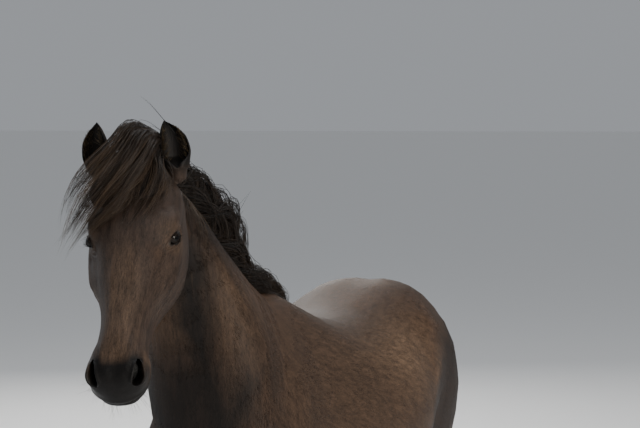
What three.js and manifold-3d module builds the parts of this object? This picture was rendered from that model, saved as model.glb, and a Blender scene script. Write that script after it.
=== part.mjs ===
// A life-size still model of an Icelandic horse, standing square with its head up and turned a little to
// its left. Millimetres, +Z up. The horse faces -Y and its left side is +X. It stands on Z = 0, and the
// middle of its bounding box is over the origin.
import * as THREE from "three";
import { mergeVertices } from "three/addons/utils/BufferGeometryUtils.js";
import Module from "manifold-3d";

const wasm = await Module();
wasm.setup();

// Driving sizes of the animal.
const WITHERS_HEIGHT = 1382;
const CROUP_HEIGHT = 1346;
const HEAD_LENGTH = 553;
const HEAD_PITCH = 45; // degrees of the head's own axis below the level
const HEAD_YAW = 16; // degrees that the head turns to its left
const HEAD_ROLL = 2.5; // degrees that the head leans to its right
const NECK_SWAY = -61; // how far the poll stands to the right of the middle plane
const POLL = { forward: 828, up: 1645 }; // the middle of the head's rear end
const EAR_LENGTH = 124;
// The ear roots' distance from the middle of the head, and how far each ear leans out for its height.
const EARS = { left: { splay: 80, lean: -0.1 }, right: { splay: 86, lean: 0.25 } };
const EYE_RADIUS = 21;
const EYE = { side: 79, along: 182, rise: 42 }; // on the head's own axes
const GAP = 0.4; // between neighbouring solids
const FORE = { side: 128, forward: 432 }; // the foreleg's column
const HIND = { side: 127, forward: -664 }; // the hind cannon's column

const radians = THREE.MathUtils.degToRad;
const smooth = (low, high, value) => THREE.MathUtils.smoothstep(value, low, high);

// Turns a place given as left, forward and up into the part's axes.
const place = (left, forward, up) => new THREE.Vector3(left, -forward, up);

// Smooth values between stations. Each station is a list whose first number is its place along the form.
function along(stations) {
  const slope = (k, v) => {
    if (k === 0 || k === stations.length - 1) return 0;
    const before = (stations[k][v] - stations[k - 1][v]) / (stations[k][0] - stations[k - 1][0]);
    const after = (stations[k + 1][v] - stations[k][v]) / (stations[k + 1][0] - stations[k][0]);
    return before * after <= 0 ? 0 : (2 * before * after) / (before + after);
  };
  const rising = stations[1][0] > stations[0][0] ? 1 : -1;
  return (at) => {
    let k = 0;
    while (k < stations.length - 2 && rising * at > rising * stations[k + 1][0]) k += 1;
    const [low, high] = [stations[k], stations[k + 1]];
    const step = high[0] - low[0];
    const u = THREE.MathUtils.clamp((at - low[0]) / step, 0, 1);
    return low.slice(1).map((value, i) => {
      const [m0, m1] = [slope(k, i + 1) * step, slope(k + 1, i + 1) * step];
      const rise = high[i + 1] - value;
      return value + u * (m0 + u * (3 * rise - 2 * m0 - m1 + u * (m0 + m1 - 2 * rise)));
    });
  };
}

// A point of a rounded outline: half widths to the side, up and down, and how square its two halves are.
function outline(angle, side, up, down, squareUp, squareDown) {
  const [s, c] = [Math.sin(angle), Math.cos(angle)];
  const power = 2 / (c > 0 ? squareUp : squareDown);
  const grown = (value) => Math.sign(value) * Math.abs(value) ** power;
  return [side * grown(s), (c > 0 ? up : down) * grown(c)];
}

// A closed form whose rings are given by ring(t, angle), for t from 0 to 1 and a full turn of the angle.
function formed(ring, rings, segments, crowd = 0.3) {
  const geometry = new THREE.SphereGeometry(1, segments, rings);
  const [position, uv] = [geometry.getAttribute("position"), geometry.getAttribute("uv")];
  for (let i = 0; i < position.count; i += 1) {
    const row = Math.round((1 - uv.getY(i)) * rings);
    const pole = row === 0 || row === rings;
    const turn = pole ? 0 : Math.round(uv.getX(i) * segments) % segments;
    const even = row / rings;
    const t = (1 - crowd) * even + crowd * (0.5 - 0.5 * Math.cos(Math.PI * even));
    const p = ring(t, (2 * Math.PI * turn) / segments, pole);
    position.setXYZ(i, p.x, p.y, p.z);
  }
  return solidOf(geometry);
}

// The same, along stations, with ends rounded off over the lengths blunt[0] and blunt[1].
function lofted(stations, blunt, at, rings, segments, crowd) {
  const values = along(stations);
  const [first, last] = [stations[0][0], stations[stations.length - 1][0]];
  const length = Math.abs(last - first);
  return formed(
    (t, angle, pole) => {
      const ends = [t, 1 - t].map((d, k) => {
        const part = THREE.MathUtils.clamp((d * length) / blunt[k], 0, 1);
        return Math.sqrt(1 - (1 - part) ** 2);
      });
      const here = first + (last - first) * t;
      return at(here, values(here), pole ? 0 : ends[0] * ends[1], angle);
    },
    rings,
    segments,
    crowd,
  );
}

// A closed geometry as a solid with its faces pointing out.
function solidOf(geometry) {
  geometry.deleteAttribute("normal");
  geometry.deleteAttribute("uv");
  const merged = mergeVertices(geometry, 1e-3);
  const vertProperties = merged.attributes.position.array;
  const facing = new Uint32Array(merged.index.array);
  const bounded = (triVerts) => new wasm.Manifold(new wasm.Mesh({ numProp: 3, vertProperties, triVerts }));
  const made = bounded(facing);
  return made.volume() > 0 ? made : bounded(facing.slice().reverse());
}

// Soft swellings and hollows: each is a centre, three radii and a lift, and lies on both sides of the body.
function swelling(forms, x, y, z) {
  return forms.reduce((sum, [cx, cy, cz, rx, ry, rz, lift]) => {
    const near = (side) => {
      const [dx, dy, dz] = [(x - side * cx) / rx, (y - cy) / ry, (z - cz) / rz];
      return Math.exp(-dx * dx - dy * dy - dz * dz);
    };
    return sum + lift * (cx === 0 ? near(1) : near(1) + near(-1));
  }, 0);
}

// The same surface with corners that all but touch made one, and without the triangles that lose their area.
const WELD = 0.02;
function welded(geometry) {
  const merged = mergeVertices(geometry, WELD);
  const corners = merged.index.array;
  const kept = [];
  for (let i = 0; i < corners.length; i += 3) {
    const [a, b, c] = corners.subarray(i, i + 3);
    if (a !== b && b !== c && c !== a) kept.push(a, b, c);
  }
  merged.setIndex(kept);
  return merged;
}

// A mesh of the part from a solid's largest body, without the crumbs that a grazing cut leaves beside it.
function meshOf(name, solid, material) {
  const bodies = solid.decompose().sort((a, b) => b.volume() - a.volume());
  const made = bodies[0].getMesh();
  const positions = new Float32Array(made.numVert * 3);
  for (let i = 0; i < made.numVert; i += 1) {
    positions.set(made.vertProperties.subarray(i * made.numProp, i * made.numProp + 3), i * 3);
  }
  const cut = new THREE.BufferGeometry();
  cut.setAttribute("position", new THREE.BufferAttribute(positions, 3));
  cut.setIndex(new THREE.BufferAttribute(made.triVerts, 1));
  const geometry = welded(cut);
  geometry.computeVertexNormals();
  const mesh = new THREE.Mesh(geometry, material);
  mesh.name = name;
  return mesh;
}

// Trunk: forward, top, bottom, level of the widest point, half width, squareness above and below.
const TRUNK = [
  [700, 1090, 912, 1010, 100, 2.1, 2.1],
  [640, 1180, 832, 1010, 168, 2.1, 2.2],
  [560, 1258, 780, 1000, 198, 1.9, 2.3],
  [470, 1336, 752, 985, 212, 1.7, 2.3],
  [390, WITHERS_HEIGHT - 8, 736, 975, 218, 1.55, 2.3],
  [330, WITHERS_HEIGHT - 2, 730, 970, 226, 1.55, 2.3],
  [230, 1346, 718, 970, 246, 1.75, 2.3],
  [110, 1298, 706, 975, 268, 2.0, 2.3],
  [0, 1283, 702, 980, 281, 2.1, 2.3],
  [-110, 1289, 712, 990, 287, 2.1, 2.3],
  [-210, 1307, 745, 1005, 280, 2.3, 2.2],
  [-310, 1331, 806, 1040, 260, 2.4, 2.2],
  [-410, CROUP_HEIGHT, 872, 1080, 248, 2.2, 2.2],
  [-510, 1334, 915, 1090, 240, 2.0, 2.2],
  [-600, 1286, 945, 1080, 216, 2.0, 2.2],
  [-680, 1210, 975, 1070, 172, 2.0, 2.2],
  [-728, 1140, 1010, 1070, 120, 2.0, 2.0],
];
const TRUNK_FORMS = [
  [160, 650, 1000, 60, 60, 85, 18], // point of the shoulder
  [205, 500, 905, 60, 95, 95, 12], // triceps
  [120, 440, 1215, 60, 90, 150, 10], // shoulder blade
  [190, 560, 1150, 60, 40, 160, -8], // groove before the shoulder blade
  [86, 690, 950, 56, 70, 90, 22], // breast
  [0, 700, 950, 24, 80, 130, -12], // groove of the breast
  [205, 330, 840, 60, 60, 90, -12], // hollow behind the elbow
  [0, -420, 1350, 26, 190, 40, -9], // furrow of the croup
  [120, -420, 1300, 70, 150, 60, 8], // croup muscles
  [212, -318, 1228, 54, 64, 50, 17], // point of the hip
  [235, -225, 1140, 60, 62, 90, -15], // hollow of the flank
];

function trunk(grow) {
  return lofted(
    TRUNK,
    [90, 50],
    (forward, [top, bottom, level, half, above, below], end, angle) => {
      const [x, z] = outline(angle, half, top - level, level - bottom, above, below);
      const reach = Math.hypot(x, z) || 1;
      const lift = grow + swelling(TRUNK_FORMS, x, forward, level + z);
      const scale = end * (1 + lift / reach);
      return place(x * scale, forward + (end < 1 ? Math.sign(forward) * grow : 0), level + z * scale);
    },
    26,
    20,
  );
}

// Neck, from its root in the shoulders to the poll: place along it, crest's forward and height, throat side's
// forward and height, half width, share of the depth above the widest point, squareness above and below.
const NECK = [
  [0.0, 300, 1330, 440, 860, 96, 0.62, 1.7, 2.2],
  [0.12, 384, 1386, 664, 936, 164, 0.64, 1.5, 2.2],
  [0.28, 474, 1442, 704, 1084, 162, 0.62, 1.42, 2.2],
  [0.44, 566, 1518, 710, 1210, 136, 0.6, 1.42, 2.2],
  [0.6, 660, 1600, 724, 1310, 112, 0.58, 1.5, 2.2],
  [0.76, 752, 1655, 748, 1392, 97, 0.55, 1.7, 2.2],
  [0.9, 826, 1680, 782, 1462, 92, 0.5, 1.8, 2.2],
  [1.0, 866, 1680, 840, 1516, 80, 0.5, 2.0, 2.2],
];

// The shares of the neck's length that its two ends round off over.
const NECK_ENDS = [0.05, 0.06];

// How the neck carries the head to one side: its shift and its turn, at a share of the way to the poll. The
// shift sets in low on the neck and the turn only on its upper part.
const SHIFT_FROM = 0.05;
const TURN_FROM = 0.35;
const sway = (t) => ({
  shift: NECK_SWAY * smooth(SHIFT_FROM, 1, t),
  turn: radians(HEAD_YAW) * smooth(TURN_FROM, 1, t),
});

// The neck's frame at a share of the way to the poll: its middle, its depths, and the directions down it and
// to its left.
const neckValues = along(NECK);
function neckFrame(t) {
  const [crestForward, crestUp, throatForward, throatUp, half, share, above, below] = neckValues(t);
  const { shift, turn } = sway(t);
  const [crest, throat] = [place(0, crestForward, crestUp), place(0, throatForward, throatUp)];
  const depth = crest.distanceTo(throat);
  const upright = new THREE.Vector3(0, 0, 1);
  const down = throat.clone().sub(crest).normalize().applyAxisAngle(upright, turn);
  const left = new THREE.Vector3(1, 0, 0).applyAxisAngle(upright, turn);
  const middle = crest.lerp(throat, share).add(place(shift, 0, 0));
  return { middle, down, left, half, up: share * depth, low: (1 - share) * depth, above, below };
}

function neck(grow) {
  return formed(
    (t, angle, pole) => {
      const f = neckFrame(t);
      const [x, z] = outline(angle, f.half + grow, f.up + grow, f.low + grow, f.above, f.below);
      const near = Math.max(0, 1 - t / NECK_ENDS[0], 1 - (1 - t) / NECK_ENDS[1]);
      const end = pole ? 0 : Math.sqrt(1 - near * near);
      return f.middle
        .clone()
        .addScaledVector(f.left, x * end)
        .addScaledVector(f.down, -z * end);
    },
    14,
    20,
  );
}

// Head, on its own axes: along it from the poll, the line of the forehead and nose, the line of the jaw,
// level of the widest point, half width, squareness above and below.
const HEAD = [
  [-12, 44, -58, 10, 68, 2.4, 2.0],
  [30, 70, -88, 16, 89, 2.7, 2.1],
  [80, 90, -115, 24, 97, 2.6, 2.2],
  [130, 98, -130, 30, 99, 2.5, 2.4],
  [180, 98, -136, 24, 98, 2.4, 2.5],
  [230, 91, -130, 6, 94, 2.2, 2.6],
  [264, 84, -119, 0, 87, 2.2, 2.6],
  [296, 78, -107, -2, 74, 2.3, 2.6],
  [334, 71, -95, -2, 61, 2.3, 2.6],
  [368, 65, -86, -4, 53, 2.4, 2.8],
  [402, 60, -78, -6, 50, 2.4, 3.0],
  [436, 56, -72, -8, 52, 2.4, 3.0],
  [470, 50, -68, -12, 58, 2.5, 2.8],
  [506, 40, -70, -14, 60, 2.6, 2.6],
  [536, 24, -66, -20, 54, 2.5, 2.4],
  [HEAD_LENGTH, 6, -54, -24, 41, 2.3, 2.2],
];
// Swellings of the head: side, along, rise, their radii, and the lift.
const HEAD_FORMS = [
  [92, 152, 72, 28, 34, 20, 9], // brow
  [82, 244, 50, 28, 40, 24, -8], // hollow before the eye
  [88, 200, 16, 30, 40, 14, 4], // rim under the eye
  [72, 118, 80, 22, 24, 20, -7], // hollow over the eye
  [86, 258, 2, 30, 58, 14, 6], // cheek bone
  [84, 160, -60, 34, 76, 52, 14], // cheek
  [0, 250, -124, 24, 110, 34, -16], // groove between the jaws
  [60, 336, -40, 26, 60, 26, -4], // hollow before the cheek
  [52, 500, 8, 22, 32, 26, 8], // wing of the nostril
  [50, 516, 10, 14, 15, 13, -14], // nostril
  [0, 522, 30, 16, 26, 20, -5], // furrow between the nostrils
  [0, 548, -8, 40, 24, 18, 5], // upper lip
  [50, 500, -40, 24, 50, 6, -5], // mouth
  [0, 496, -70, 30, 26, 18, 7], // chin
  [0, 440, -68, 34, 26, 18, -5], // groove of the chin
];

// A place on the head's own axes, with its rise towards the forehead and its side to the left.
const headTurn = new THREE.Matrix4()
  .makeRotationZ(radians(HEAD_YAW))
  .setPosition(place(NECK_SWAY, POLL.forward, POLL.up));
function onHead(side, at, rise) {
  const [pitch, roll] = [radians(HEAD_PITCH), radians(HEAD_ROLL)];
  const forward = at * Math.cos(pitch) + rise * Math.sin(pitch);
  const up = rise * Math.cos(pitch) - at * Math.sin(pitch);
  return place(side - up * roll, forward, up + side * roll).applyMatrix4(headTurn);
}

function head(grow) {
  return lofted(
    HEAD,
    [40, 34],
    (at, [top, bottom, level, half, above, below], end, angle) => {
      const [x, z] = outline(angle, half, top - level, level - bottom, above, below);
      const reach = Math.hypot(x, z) || 1;
      const scale = end * (1 + (grow + swelling(HEAD_FORMS, x, at, level + z)) / reach);
      return onHead(x * scale, at, level + z * scale);
    },
    32,
    20,
    0.2,
  );
}

// A leg, from the top down: height, forward, side, half length, half width, squareness in front and behind.
const FORELEG = [
  [980, 478, 112, 92, 60, 2.2, 2.2],
  [890, 462, 128, 108, 68, 2.2, 2.2],
  [800, 448, 137, 100, 63, 2.2, 2.1],
  [725, 441, 138, 76, 54, 2.2, 2.1],
  [650, 438, 135, 60, 45, 2.2, 2.1],
  [570, 436, 131, 47, 38, 2.2, 2.1],
  [500, 437, 129, 40, 35, 2.3, 2.2],
  [455, 439, 128, 43, 39, 2.5, 2.2],
  [425, 438, 128, 46, 41, 2.6, 2.2],
  [392, 434, 128, 42, 37, 2.4, 2.2],
  [350, FORE.forward, FORE.side, 35, 28, 2.2, 2.2],
  [290, FORE.forward - 1, FORE.side, 33, 25, 2.2, 2.3],
  [232, FORE.forward - 1, FORE.side, 34, 26, 2.2, 2.3],
  [192, 430, FORE.side, 41, 33, 2.2, 2.1],
  [160, 442, FORE.side, 36, 31, 2.2, 2.2],
  [125, 460, FORE.side, 31, 29, 2.2, 2.2],
  [90, 474, FORE.side, 38, 37, 2.2, 2.2],
  [60, 482, FORE.side, 46, 44, 2.1, 2.1],
  [22, 486, FORE.side, 46, 44, 2.1, 2.1],
];
const HINDLEG = [
  [1290, -440, 92, 120, 60, 2.1, 2.1],
  [1210, -455, 110, 205, 96, 2.1, 2.1],
  [1120, -465, 124, 246, 112, 2.1, 2.1],
  [1030, -470, 131, 262, 114, 2.1, 2.1],
  [950, -463, 135, 252, 108, 2.1, 2.1],
  [880, -458, 138, 212, 97, 2.2, 2.1],
  [820, -470, 139, 164, 84, 2.2, 2.1],
  [755, -506, 138, 116, 67, 2.2, 2.1],
  [690, -548, 136, 88, 53, 2.2, 2.0],
  [630, -590, 134, 74, 43, 2.2, 1.8],
  [578, -628, 131, 76, 38, 2.2, 1.7],
  [535, -650, 129, 66, 40, 2.2, 1.9],
  [490, -664, 128, 50, 38, 2.3, 2.1],
  [435, -668, 127, 40, 31, 2.2, 2.2],
  [350, HIND.forward - 1, HIND.side, 36, 27, 2.2, 2.3],
  [265, HIND.forward, HIND.side, 35, 27, 2.2, 2.3],
  [212, -660, HIND.side, 42, 34, 2.2, 2.1],
  [178, -649, HIND.side, 37, 31, 2.2, 2.2],
  [138, -629, HIND.side, 32, 29, 2.2, 2.2],
  [98, -609, HIND.side, 38, 36, 2.2, 2.2],
  [62, -597, HIND.side, 46, 44, 2.1, 2.1],
  [22, -592, HIND.side, 46, 44, 2.1, 2.1],
];

function leg(stations, left, step, grow, rings, segments) {
  const top = stations[0][0];
  return lofted(
    stations,
    [90, 2],
    (up, [forward, side, length, half, front, back], end, angle) => {
      const [x, y] = outline(angle, half + grow, length + grow, length + grow, front, back);
      const swing = step * (1 - smooth(120, top * 0.85, up));
      return place(left * (side + x * end), forward + y * end + swing, up);
    },
    rings,
    segments,
    0,
  );
}

// Where each foot stands before or behind its square place, and the hoof's centre under the coronet.
const LIMBS = [
  { name: "foreleg_left", stations: FORELEG, left: 1, step: 26, foot: 508, rings: 22, segments: 12 },
  { name: "foreleg_right", stations: FORELEG, left: -1, step: -16, foot: 508, rings: 22, segments: 12 },
  { name: "hindleg_left", stations: HINDLEG, left: 1, step: -26, foot: -568, rings: 26, segments: 12 },
  { name: "hindleg_right", stations: HINDLEG, left: -1, step: 42, foot: -568, rings: 26, segments: 12 },
];
const HOOF = { toe: 70, heel: 34, length: 60, half: 56, coronet: 0.79, lean: 26, tuck: 0.1 };

// A hoof: a sloping wall, higher at the toe and tucked in at the heel, on a flat sole.
function hoof(limb) {
  const { name, left, step, foot } = limb;
  const side = (name.startsWith("fore") ? FORE : HIND).side;
  const geometry = new THREE.CylinderGeometry(1, 1, 1, 18, 1);
  const position = geometry.getAttribute("position");
  for (let i = 0; i < position.count; i += 1) {
    const [x, y] = [position.getX(i), position.getZ(i)];
    const share = position.getY(i) + 0.5;
    const size = THREE.MathUtils.lerp(1, HOOF.coronet, share);
    const height = THREE.MathUtils.lerp(HOOF.heel, HOOF.toe, (y + 1) / 2);
    const wide = HOOF.half * size * (y < 0 ? 1 - HOOF.tuck * y * y : 1);
    const forward = foot + step - HOOF.lean * share + y * HOOF.length * size;
    const p = place(left * side + x * wide, forward, share * height);
    position.setXYZ(i, p.x, p.y, p.z);
  }
  return solidOf(geometry);
}

// The box that a leg loses at its foot, so that it ends on the hoof's sloping coronet.
function hoofTop(limb) {
  const slope = Math.atan((HOOF.toe - HOOF.heel) / (2 * HOOF.length * HOOF.coronet));
  const knife = new THREE.BoxGeometry(300, 400, 400);
  knife.translate(0, 0, -200);
  knife.rotateX(-slope);
  const middle = HOOF.heel + (HOOF.toe - HOOF.heel) / 2;
  const at = place(limb.left * FORE.side, limb.foot + limb.step - HOOF.lean, middle + GAP);
  knife.translate(at.x, at.y, at.z);
  return solidOf(knife);
}

// An ear: a leaf rolled round its own hollow, on the head's axes, which opens forward. Place up it, half
// width, half depth, bow to the outside.
const EAR = [
  [-22, 20, 18, 0],
  [0, 24, 21, 0],
  [26, 29, 24, 2],
  [54, 31, 22, 4],
  [82, 26, 18, 2],
  [106, 15, 12, -5],
  [EAR_LENGTH, 3, 4, -13],
];
const EAR_ROOT = { along: 14, rise: 56 }; // on the head's own axes
const EAR_WALL = 4.5;
const EAR_TILT = 0.06; // how far an ear leans forward for its height
const EAR_OPENS = 16; // degrees that its hollow turns outward
const EAR_CURL = 1400; // radius that its back bends to, twice over
const earOf = (left) => (left === 1 ? EARS.left : EARS.right);

function earForm(left, shrink, ahead, rings, segments) {
  const { splay, lean } = earOf(left);
  const root = onHead(left * splay, EAR_ROOT.along, EAR_ROOT.rise);
  const up = new THREE.Vector3(left * lean, -EAR_TILT, 1).normalize();
  const facing = new THREE.Vector3(0, -1, 0).applyAxisAngle(up, radians(HEAD_YAW + left * EAR_OPENS));
  facing.addScaledVector(up, -facing.dot(up)).normalize();
  const across = new THREE.Vector3().crossVectors(facing, up).multiplyScalar(-left);
  return lofted(
    EAR,
    [16, 10],
    (at, [half, deep, bow], end, angle) => {
      const [wide, back] = [Math.max(half - shrink, 0.5), deep - shrink];
      const [x, y] = outline(angle, wide, back + ahead, back, 2.1, 2.0);
      return root
        .clone()
        .addScaledVector(up, at)
        .addScaledVector(across, x * end + bow)
        .addScaledVector(facing, y * end - (at * at) / EAR_CURL);
    },
    rings,
    segments,
    0,
  );
}

// The hollow runs forward out of the ear, from a closed root to just under its tip.
const EAR_REACH = 44;
const EAR_CLOSED = 12; // height of the closed root
function ear(left) {
  const scoop = earForm(left, EAR_WALL, EAR_REACH, 8, 8);
  const centre = onHead(left * earOf(left).splay, EAR_ROOT.along, EAR_ROOT.rise);
  const size = new THREE.Vector3(200, 200, 100);
  centre.z += EAR_CLOSED - size.z / 2;
  return earForm(left, 0, 0, 9, 12).subtract(scoop.subtract(region({ centre, size })));
}

// An eyeball, and the almond between the lids that shows it.
function eyeball(left, grow) {
  const geometry = new THREE.SphereGeometry(EYE_RADIUS + grow, 12, 8);
  const at = onHead(left * EYE.side, EYE.along, EYE.rise);
  geometry.translate(at.x, at.y, at.z);
  return solidOf(geometry);
}

// The eye looks out, with the slit between the lids rising to the rear. On the head's axes.
const GAZE = new THREE.Vector3(0.8, 0.42, 0.42);
const SLIT = new THREE.Vector3(0.49, -0.87, -0.06);
const LID = new THREE.Vector3(-0.34, -0.25, 0.9);
const EYE_SLIT = { length: 19, height: 12, under: 9.6, depth: 15, ahead: 21 };

function lidGap(left) {
  return formed(
    (t, angle, pole) => {
      const { length, height, under, depth, ahead } = EYE_SLIT;
      const wide = pole ? 0 : Math.sin(Math.PI * t) ** 0.8;
      const [x, y] = outline(angle, depth * wide, height * wide, under * wide, 2, 2);
      const p = new THREE.Vector3(EYE.side, EYE.along, EYE.rise)
        .addScaledVector(GAZE, ahead + x)
        .addScaledVector(SLIT, length * (2 * t - 1))
        .addScaledVector(LID, y);
      return onHead(left * p.x, p.y, p.z);
    },
    8,
    12,
  );
}

// Tail: place down it, behind, height, half width, half depth.
const TAIL = [
  [0.0, -620, 1206, 26, 24],
  [0.08, -690, 1214, 42, 36],
  [0.18, -742, 1170, 56, 46],
  [0.3, -766, 1070, 70, 56],
  [0.5, -778, 870, 88, 66],
  [0.7, -778, 640, 96, 66],
  [0.88, -770, 430, 74, 48],
  [1.0, -764, 290, 30, 20],
];

// Locks that wind down it: their height, how many stand round it, and their turn from its dock to its tip.
const TAIL_LOCKS = { height: 4, count: 3, turn: 9 };

function tail() {
  const path = along(TAIL);
  const step = 0.02;
  return lofted(
    TAIL,
    [0.04, 0.05],
    (t, [behind, up, half, deep], end, angle) => {
      const [b0, u0] = path(t - step);
      const [b1, u1] = path(t + step);
      const run = Math.hypot(b1 - b0, u1 - u0);
      const [x, y] = outline(angle, half, deep, deep, 2.2, 2.2);
      const { height, count, turn } = TAIL_LOCKS;
      const out = (y + height * Math.sin(count * angle + turn * t)) * end;
      return place(x * end, behind + (out * (u1 - u0)) / run, up - (out * (b1 - b0)) / run);
    },
    15,
    12,
    0.1,
  );
}

// Mane: it grows from the whole crest and falls to the right. Place along the neck, drop of its hem below the
// crest, half thickness, and how far it stands over the crest.
const MANE = [
  [0.0, 60, 34, 78],
  [0.06, 120, 42, 80],
  [0.12, 170, 46, 60],
  [0.18, 220, 48, 42],
  [0.24, 250, 50, 54],
  [0.3, 262, 54, 104],
  [0.37, 274, 56, 138],
  [0.44, 278, 58, 134],
  [0.52, 280, 58, 106],
  [0.64, 268, 60, 88],
  [0.84, 230, 56, 98],
  [0.94, 190, 48, 70],
  [1.0, 150, 38, 38],
];

// Its hem waves with the locks, and it lies along the neck's side from just beside the crest.
const MANE_LOCKS = { share: 0.07, turn: 21 };
const MANE_LIE = { share: 0.95, beside: 6, thin: 0.5 };

function mane() {
  return lofted(
    MANE,
    [0.08, 0.06],
    (t, [drop, thick, stand], end, angle) => {
      const f = neckFrame(t);
      const hem = drop * (1 + MANE_LOCKS.share * Math.sin(MANE_LOCKS.turn * t));
      const half = (hem + stand) / 2;
      const [across, hang] = outline(angle, thick * end, half * end, half * end, 2.5, 2.5);
      const down = half - stand - hang;
      const { share, beside, thin } = MANE_LIE;
      const aside = across > 0 ? across : across * (thin + (1 - thin) * smooth(10, 80, down));
      const lie = f.half * Math.sin(Math.min(1, Math.max(0, down) / (2 * f.up)) * Math.PI * 0.5);
      return f.middle
        .clone()
        .addScaledVector(f.down, down - f.up)
        .addScaledVector(f.left, -lie * share - aside - beside);
    },
    16,
    10,
    0.1,
  );
}

// Forelock: it stands up off the poll and blows to the right, over the forehead and past the eye. Place down
// it, side, along, rise on the head's axes, half width, half thickness, and the turn of its width in degrees.
const FORELOCK = [
  [0.0, 44, -52, 96, 38, 26, 40],
  [0.2, 16, -14, 142, 52, 48, 36],
  [0.45, -18, 40, 146, 64, 42, 38],
  [0.7, -62, 104, 120, 66, 32, 42],
  [0.9, -104, 158, 84, 46, 22, 46],
  [1.0, -128, 186, 58, 22, 11, 48],
];
// The part of it that falls down the middle of the forehead.
const FORELOCK_FALL = [
  [0.0, 26, -34, 92, 40, 26, 0],
  [0.3, 22, 30, 108, 50, 26, 4],
  [0.6, 4, 90, 110, 54, 20, 10],
  [0.85, -20, 142, 106, 42, 15, 16],
  [1.0, -38, 176, 96, 16, 8, 20],
];

function lock(stations, grow, spread, rings, segments) {
  return lofted(
    stations,
    [0.1, 0.08],
    (t, [side, at, rise, half, thick, turn], end, angle) => {
      const [wide, deep] = [(half + grow) * end, (thick + grow) * end];
      const [x, z] = outline(angle, wide, deep, deep, 2.2, 2.2);
      const [c, s] = [Math.cos(radians(turn)), Math.sin(radians(turn))];
      const lean = spread * smooth(0.3, 1, t);
      return onHead(side + x * c - z * lean, at + x * s, rise + z * (1 - 0.4 * lean));
    },
    rings,
    segments,
    0.1,
  );
}

function forelock(grow) {
  return lock(FORELOCK, grow, 0.5, 11, 10).add(lock(FORELOCK_FALL, grow, 0, 8, 8));
}

// The whole body of flesh, as one solid.
function flesh(grow) {
  const limbs = LIMBS.map((l) => leg(l.stations, l.left, l.step, grow, l.rings, l.segments));
  return [neck(grow), head(grow), ...limbs].reduce((body, form) => body.add(form), trunk(grow));
}

// A box that holds one part of the body: its centre, its size, its turn about the left-right axis, its yaw.
function region({ centre, size, turn = 0, yaw = 0 }, grow = 0) {
  const geometry = new THREE.BoxGeometry(size.x + grow, size.y + grow, size.z + grow);
  geometry.rotateX(turn);
  geometry.rotateZ(yaw);
  geometry.translate(centre.x, centre.y, centre.z);
  return solidOf(geometry);
}

// Cuts the part of a body inside all of the boxes away from the rest, with a thin gap between the two.
function parted(body, boxes) {
  const held = (grow) => boxes.map((b) => region(b, grow)).reduce((a, b) => a.intersect(b));
  return [body.intersect(held(-GAP)), body.subtract(held(GAP))];
}

// The box whose rear or lower face runs through a point, square to a direction that leans by pitch degrees.
function beyond(point, pitch, yaw) {
  const size = new THREE.Vector3(1200, 1200, 1200);
  const reach = size.y / 2;
  const ahead = place(0, Math.cos(radians(pitch)) * reach, Math.sin(radians(pitch)) * reach);
  ahead.applyAxisAngle(new THREE.Vector3(0, 0, 1), radians(yaw));
  return { centre: point.clone().add(ahead), size, turn: radians(-pitch), yaw: radians(yaw) };
}

// The leg regions reach to the middle plane, and the hind ones lean with the thigh.
const foreRegion = (left) => ({
  centre: place(left * (200 + GAP), 440, 365),
  size: new THREE.Vector3(400, 460, 730),
});
const hindRegion = (left) => ({
  centre: place(left * (250 + GAP), -560, 400),
  size: new THREE.Vector3(500, 700, 1060),
  turn: radians(-14),
});
const REGIONS = {
  foreleg_left: [foreRegion(1)],
  foreleg_right: [foreRegion(-1)],
  hindleg_left: [hindRegion(1)],
  hindleg_right: [hindRegion(-1)],
  head: [beyond(onHead(0, 35, -25), -20, HEAD_YAW), beyond(place(0, 795, 1500), 0, 0)],
  neck: [beyond(place(0, 560, 1270), 45, 0)],
};

const material = (color, roughness) => new THREE.MeshStandardMaterial({ color, roughness, metalness: 0 });
const COAT = material(0x33271f, 0.6);
const HAIR = material(0x15100e, 0.5);
const HORN = material(0x2b2624, 0.45);
const EYE_DARK = material(0x120b08, 0.08);

function build() {
  const pieces = new Map();
  let body = flesh(0);
  const grown = flesh(GAP);
  for (const left of [1, -1]) {
    pieces.set(left === 1 ? "eye_left" : "eye_right", [eyeball(left, 0), EYE_DARK]);
    body = body.subtract(eyeball(left, GAP)).subtract(lidGap(left));
  }
  for (const limb of LIMBS) {
    body = body.subtract(hoofTop(limb));
    pieces.set(limb.name.replace("leg", "hoof"), [hoof(limb), HORN]);
  }
  for (const [name, boxes] of Object.entries(REGIONS)) {
    const [piece, rest] = parted(body, boxes);
    pieces.set(name, [piece, COAT]);
    body = rest;
  }
  pieces.set("trunk", [body, COAT]);
  for (const left of [1, -1]) {
    const name = left === 1 ? "ear_left" : "ear_right";
    pieces.set(name, [ear(left).subtract(grown), COAT]);
  }
  const ears = earForm(1, -GAP, 0, 9, 12).add(earForm(-1, -GAP, 0, 9, 12));
  pieces.set("tail", [tail().subtract(grown), HAIR]);
  pieces.set("mane", [mane().subtract(grown).subtract(forelock(GAP)), HAIR]);
  pieces.set("forelock", [forelock(0).subtract(grown).subtract(ears), HAIR]);
  return pieces;
}

const horse = new THREE.Group();
for (const [name, [solid, finish]] of build()) horse.add(meshOf(name, solid, finish));
const box = new THREE.Box3().setFromObject(horse);
horse.position.set(-(box.min.x + box.max.x) / 2, -(box.min.y + box.max.y) / 2, 0);

export default horse;
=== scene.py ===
"""The looks of a life-size still model of a dark Icelandic horse, its head raised and turned a little.

Lengths are in millimetres, with x to the horse's left, y behind and z up, until a mesh is written. The row
frame is the same in metres, moved along y so that the model's bounding box is over the origin.
"""

import logging
import math
from collections.abc import Callable, Iterable
from dataclasses import dataclass, field
from enum import Enum, IntEnum
from itertools import product

import bmesh
import bpy
import numpy as np
from bpy.types import Material, Mesh, Node, NodeSocket, NodeTree, Object
from mathutils import Matrix, Vector
from mathutils.bvhtree import BVHTree


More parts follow.
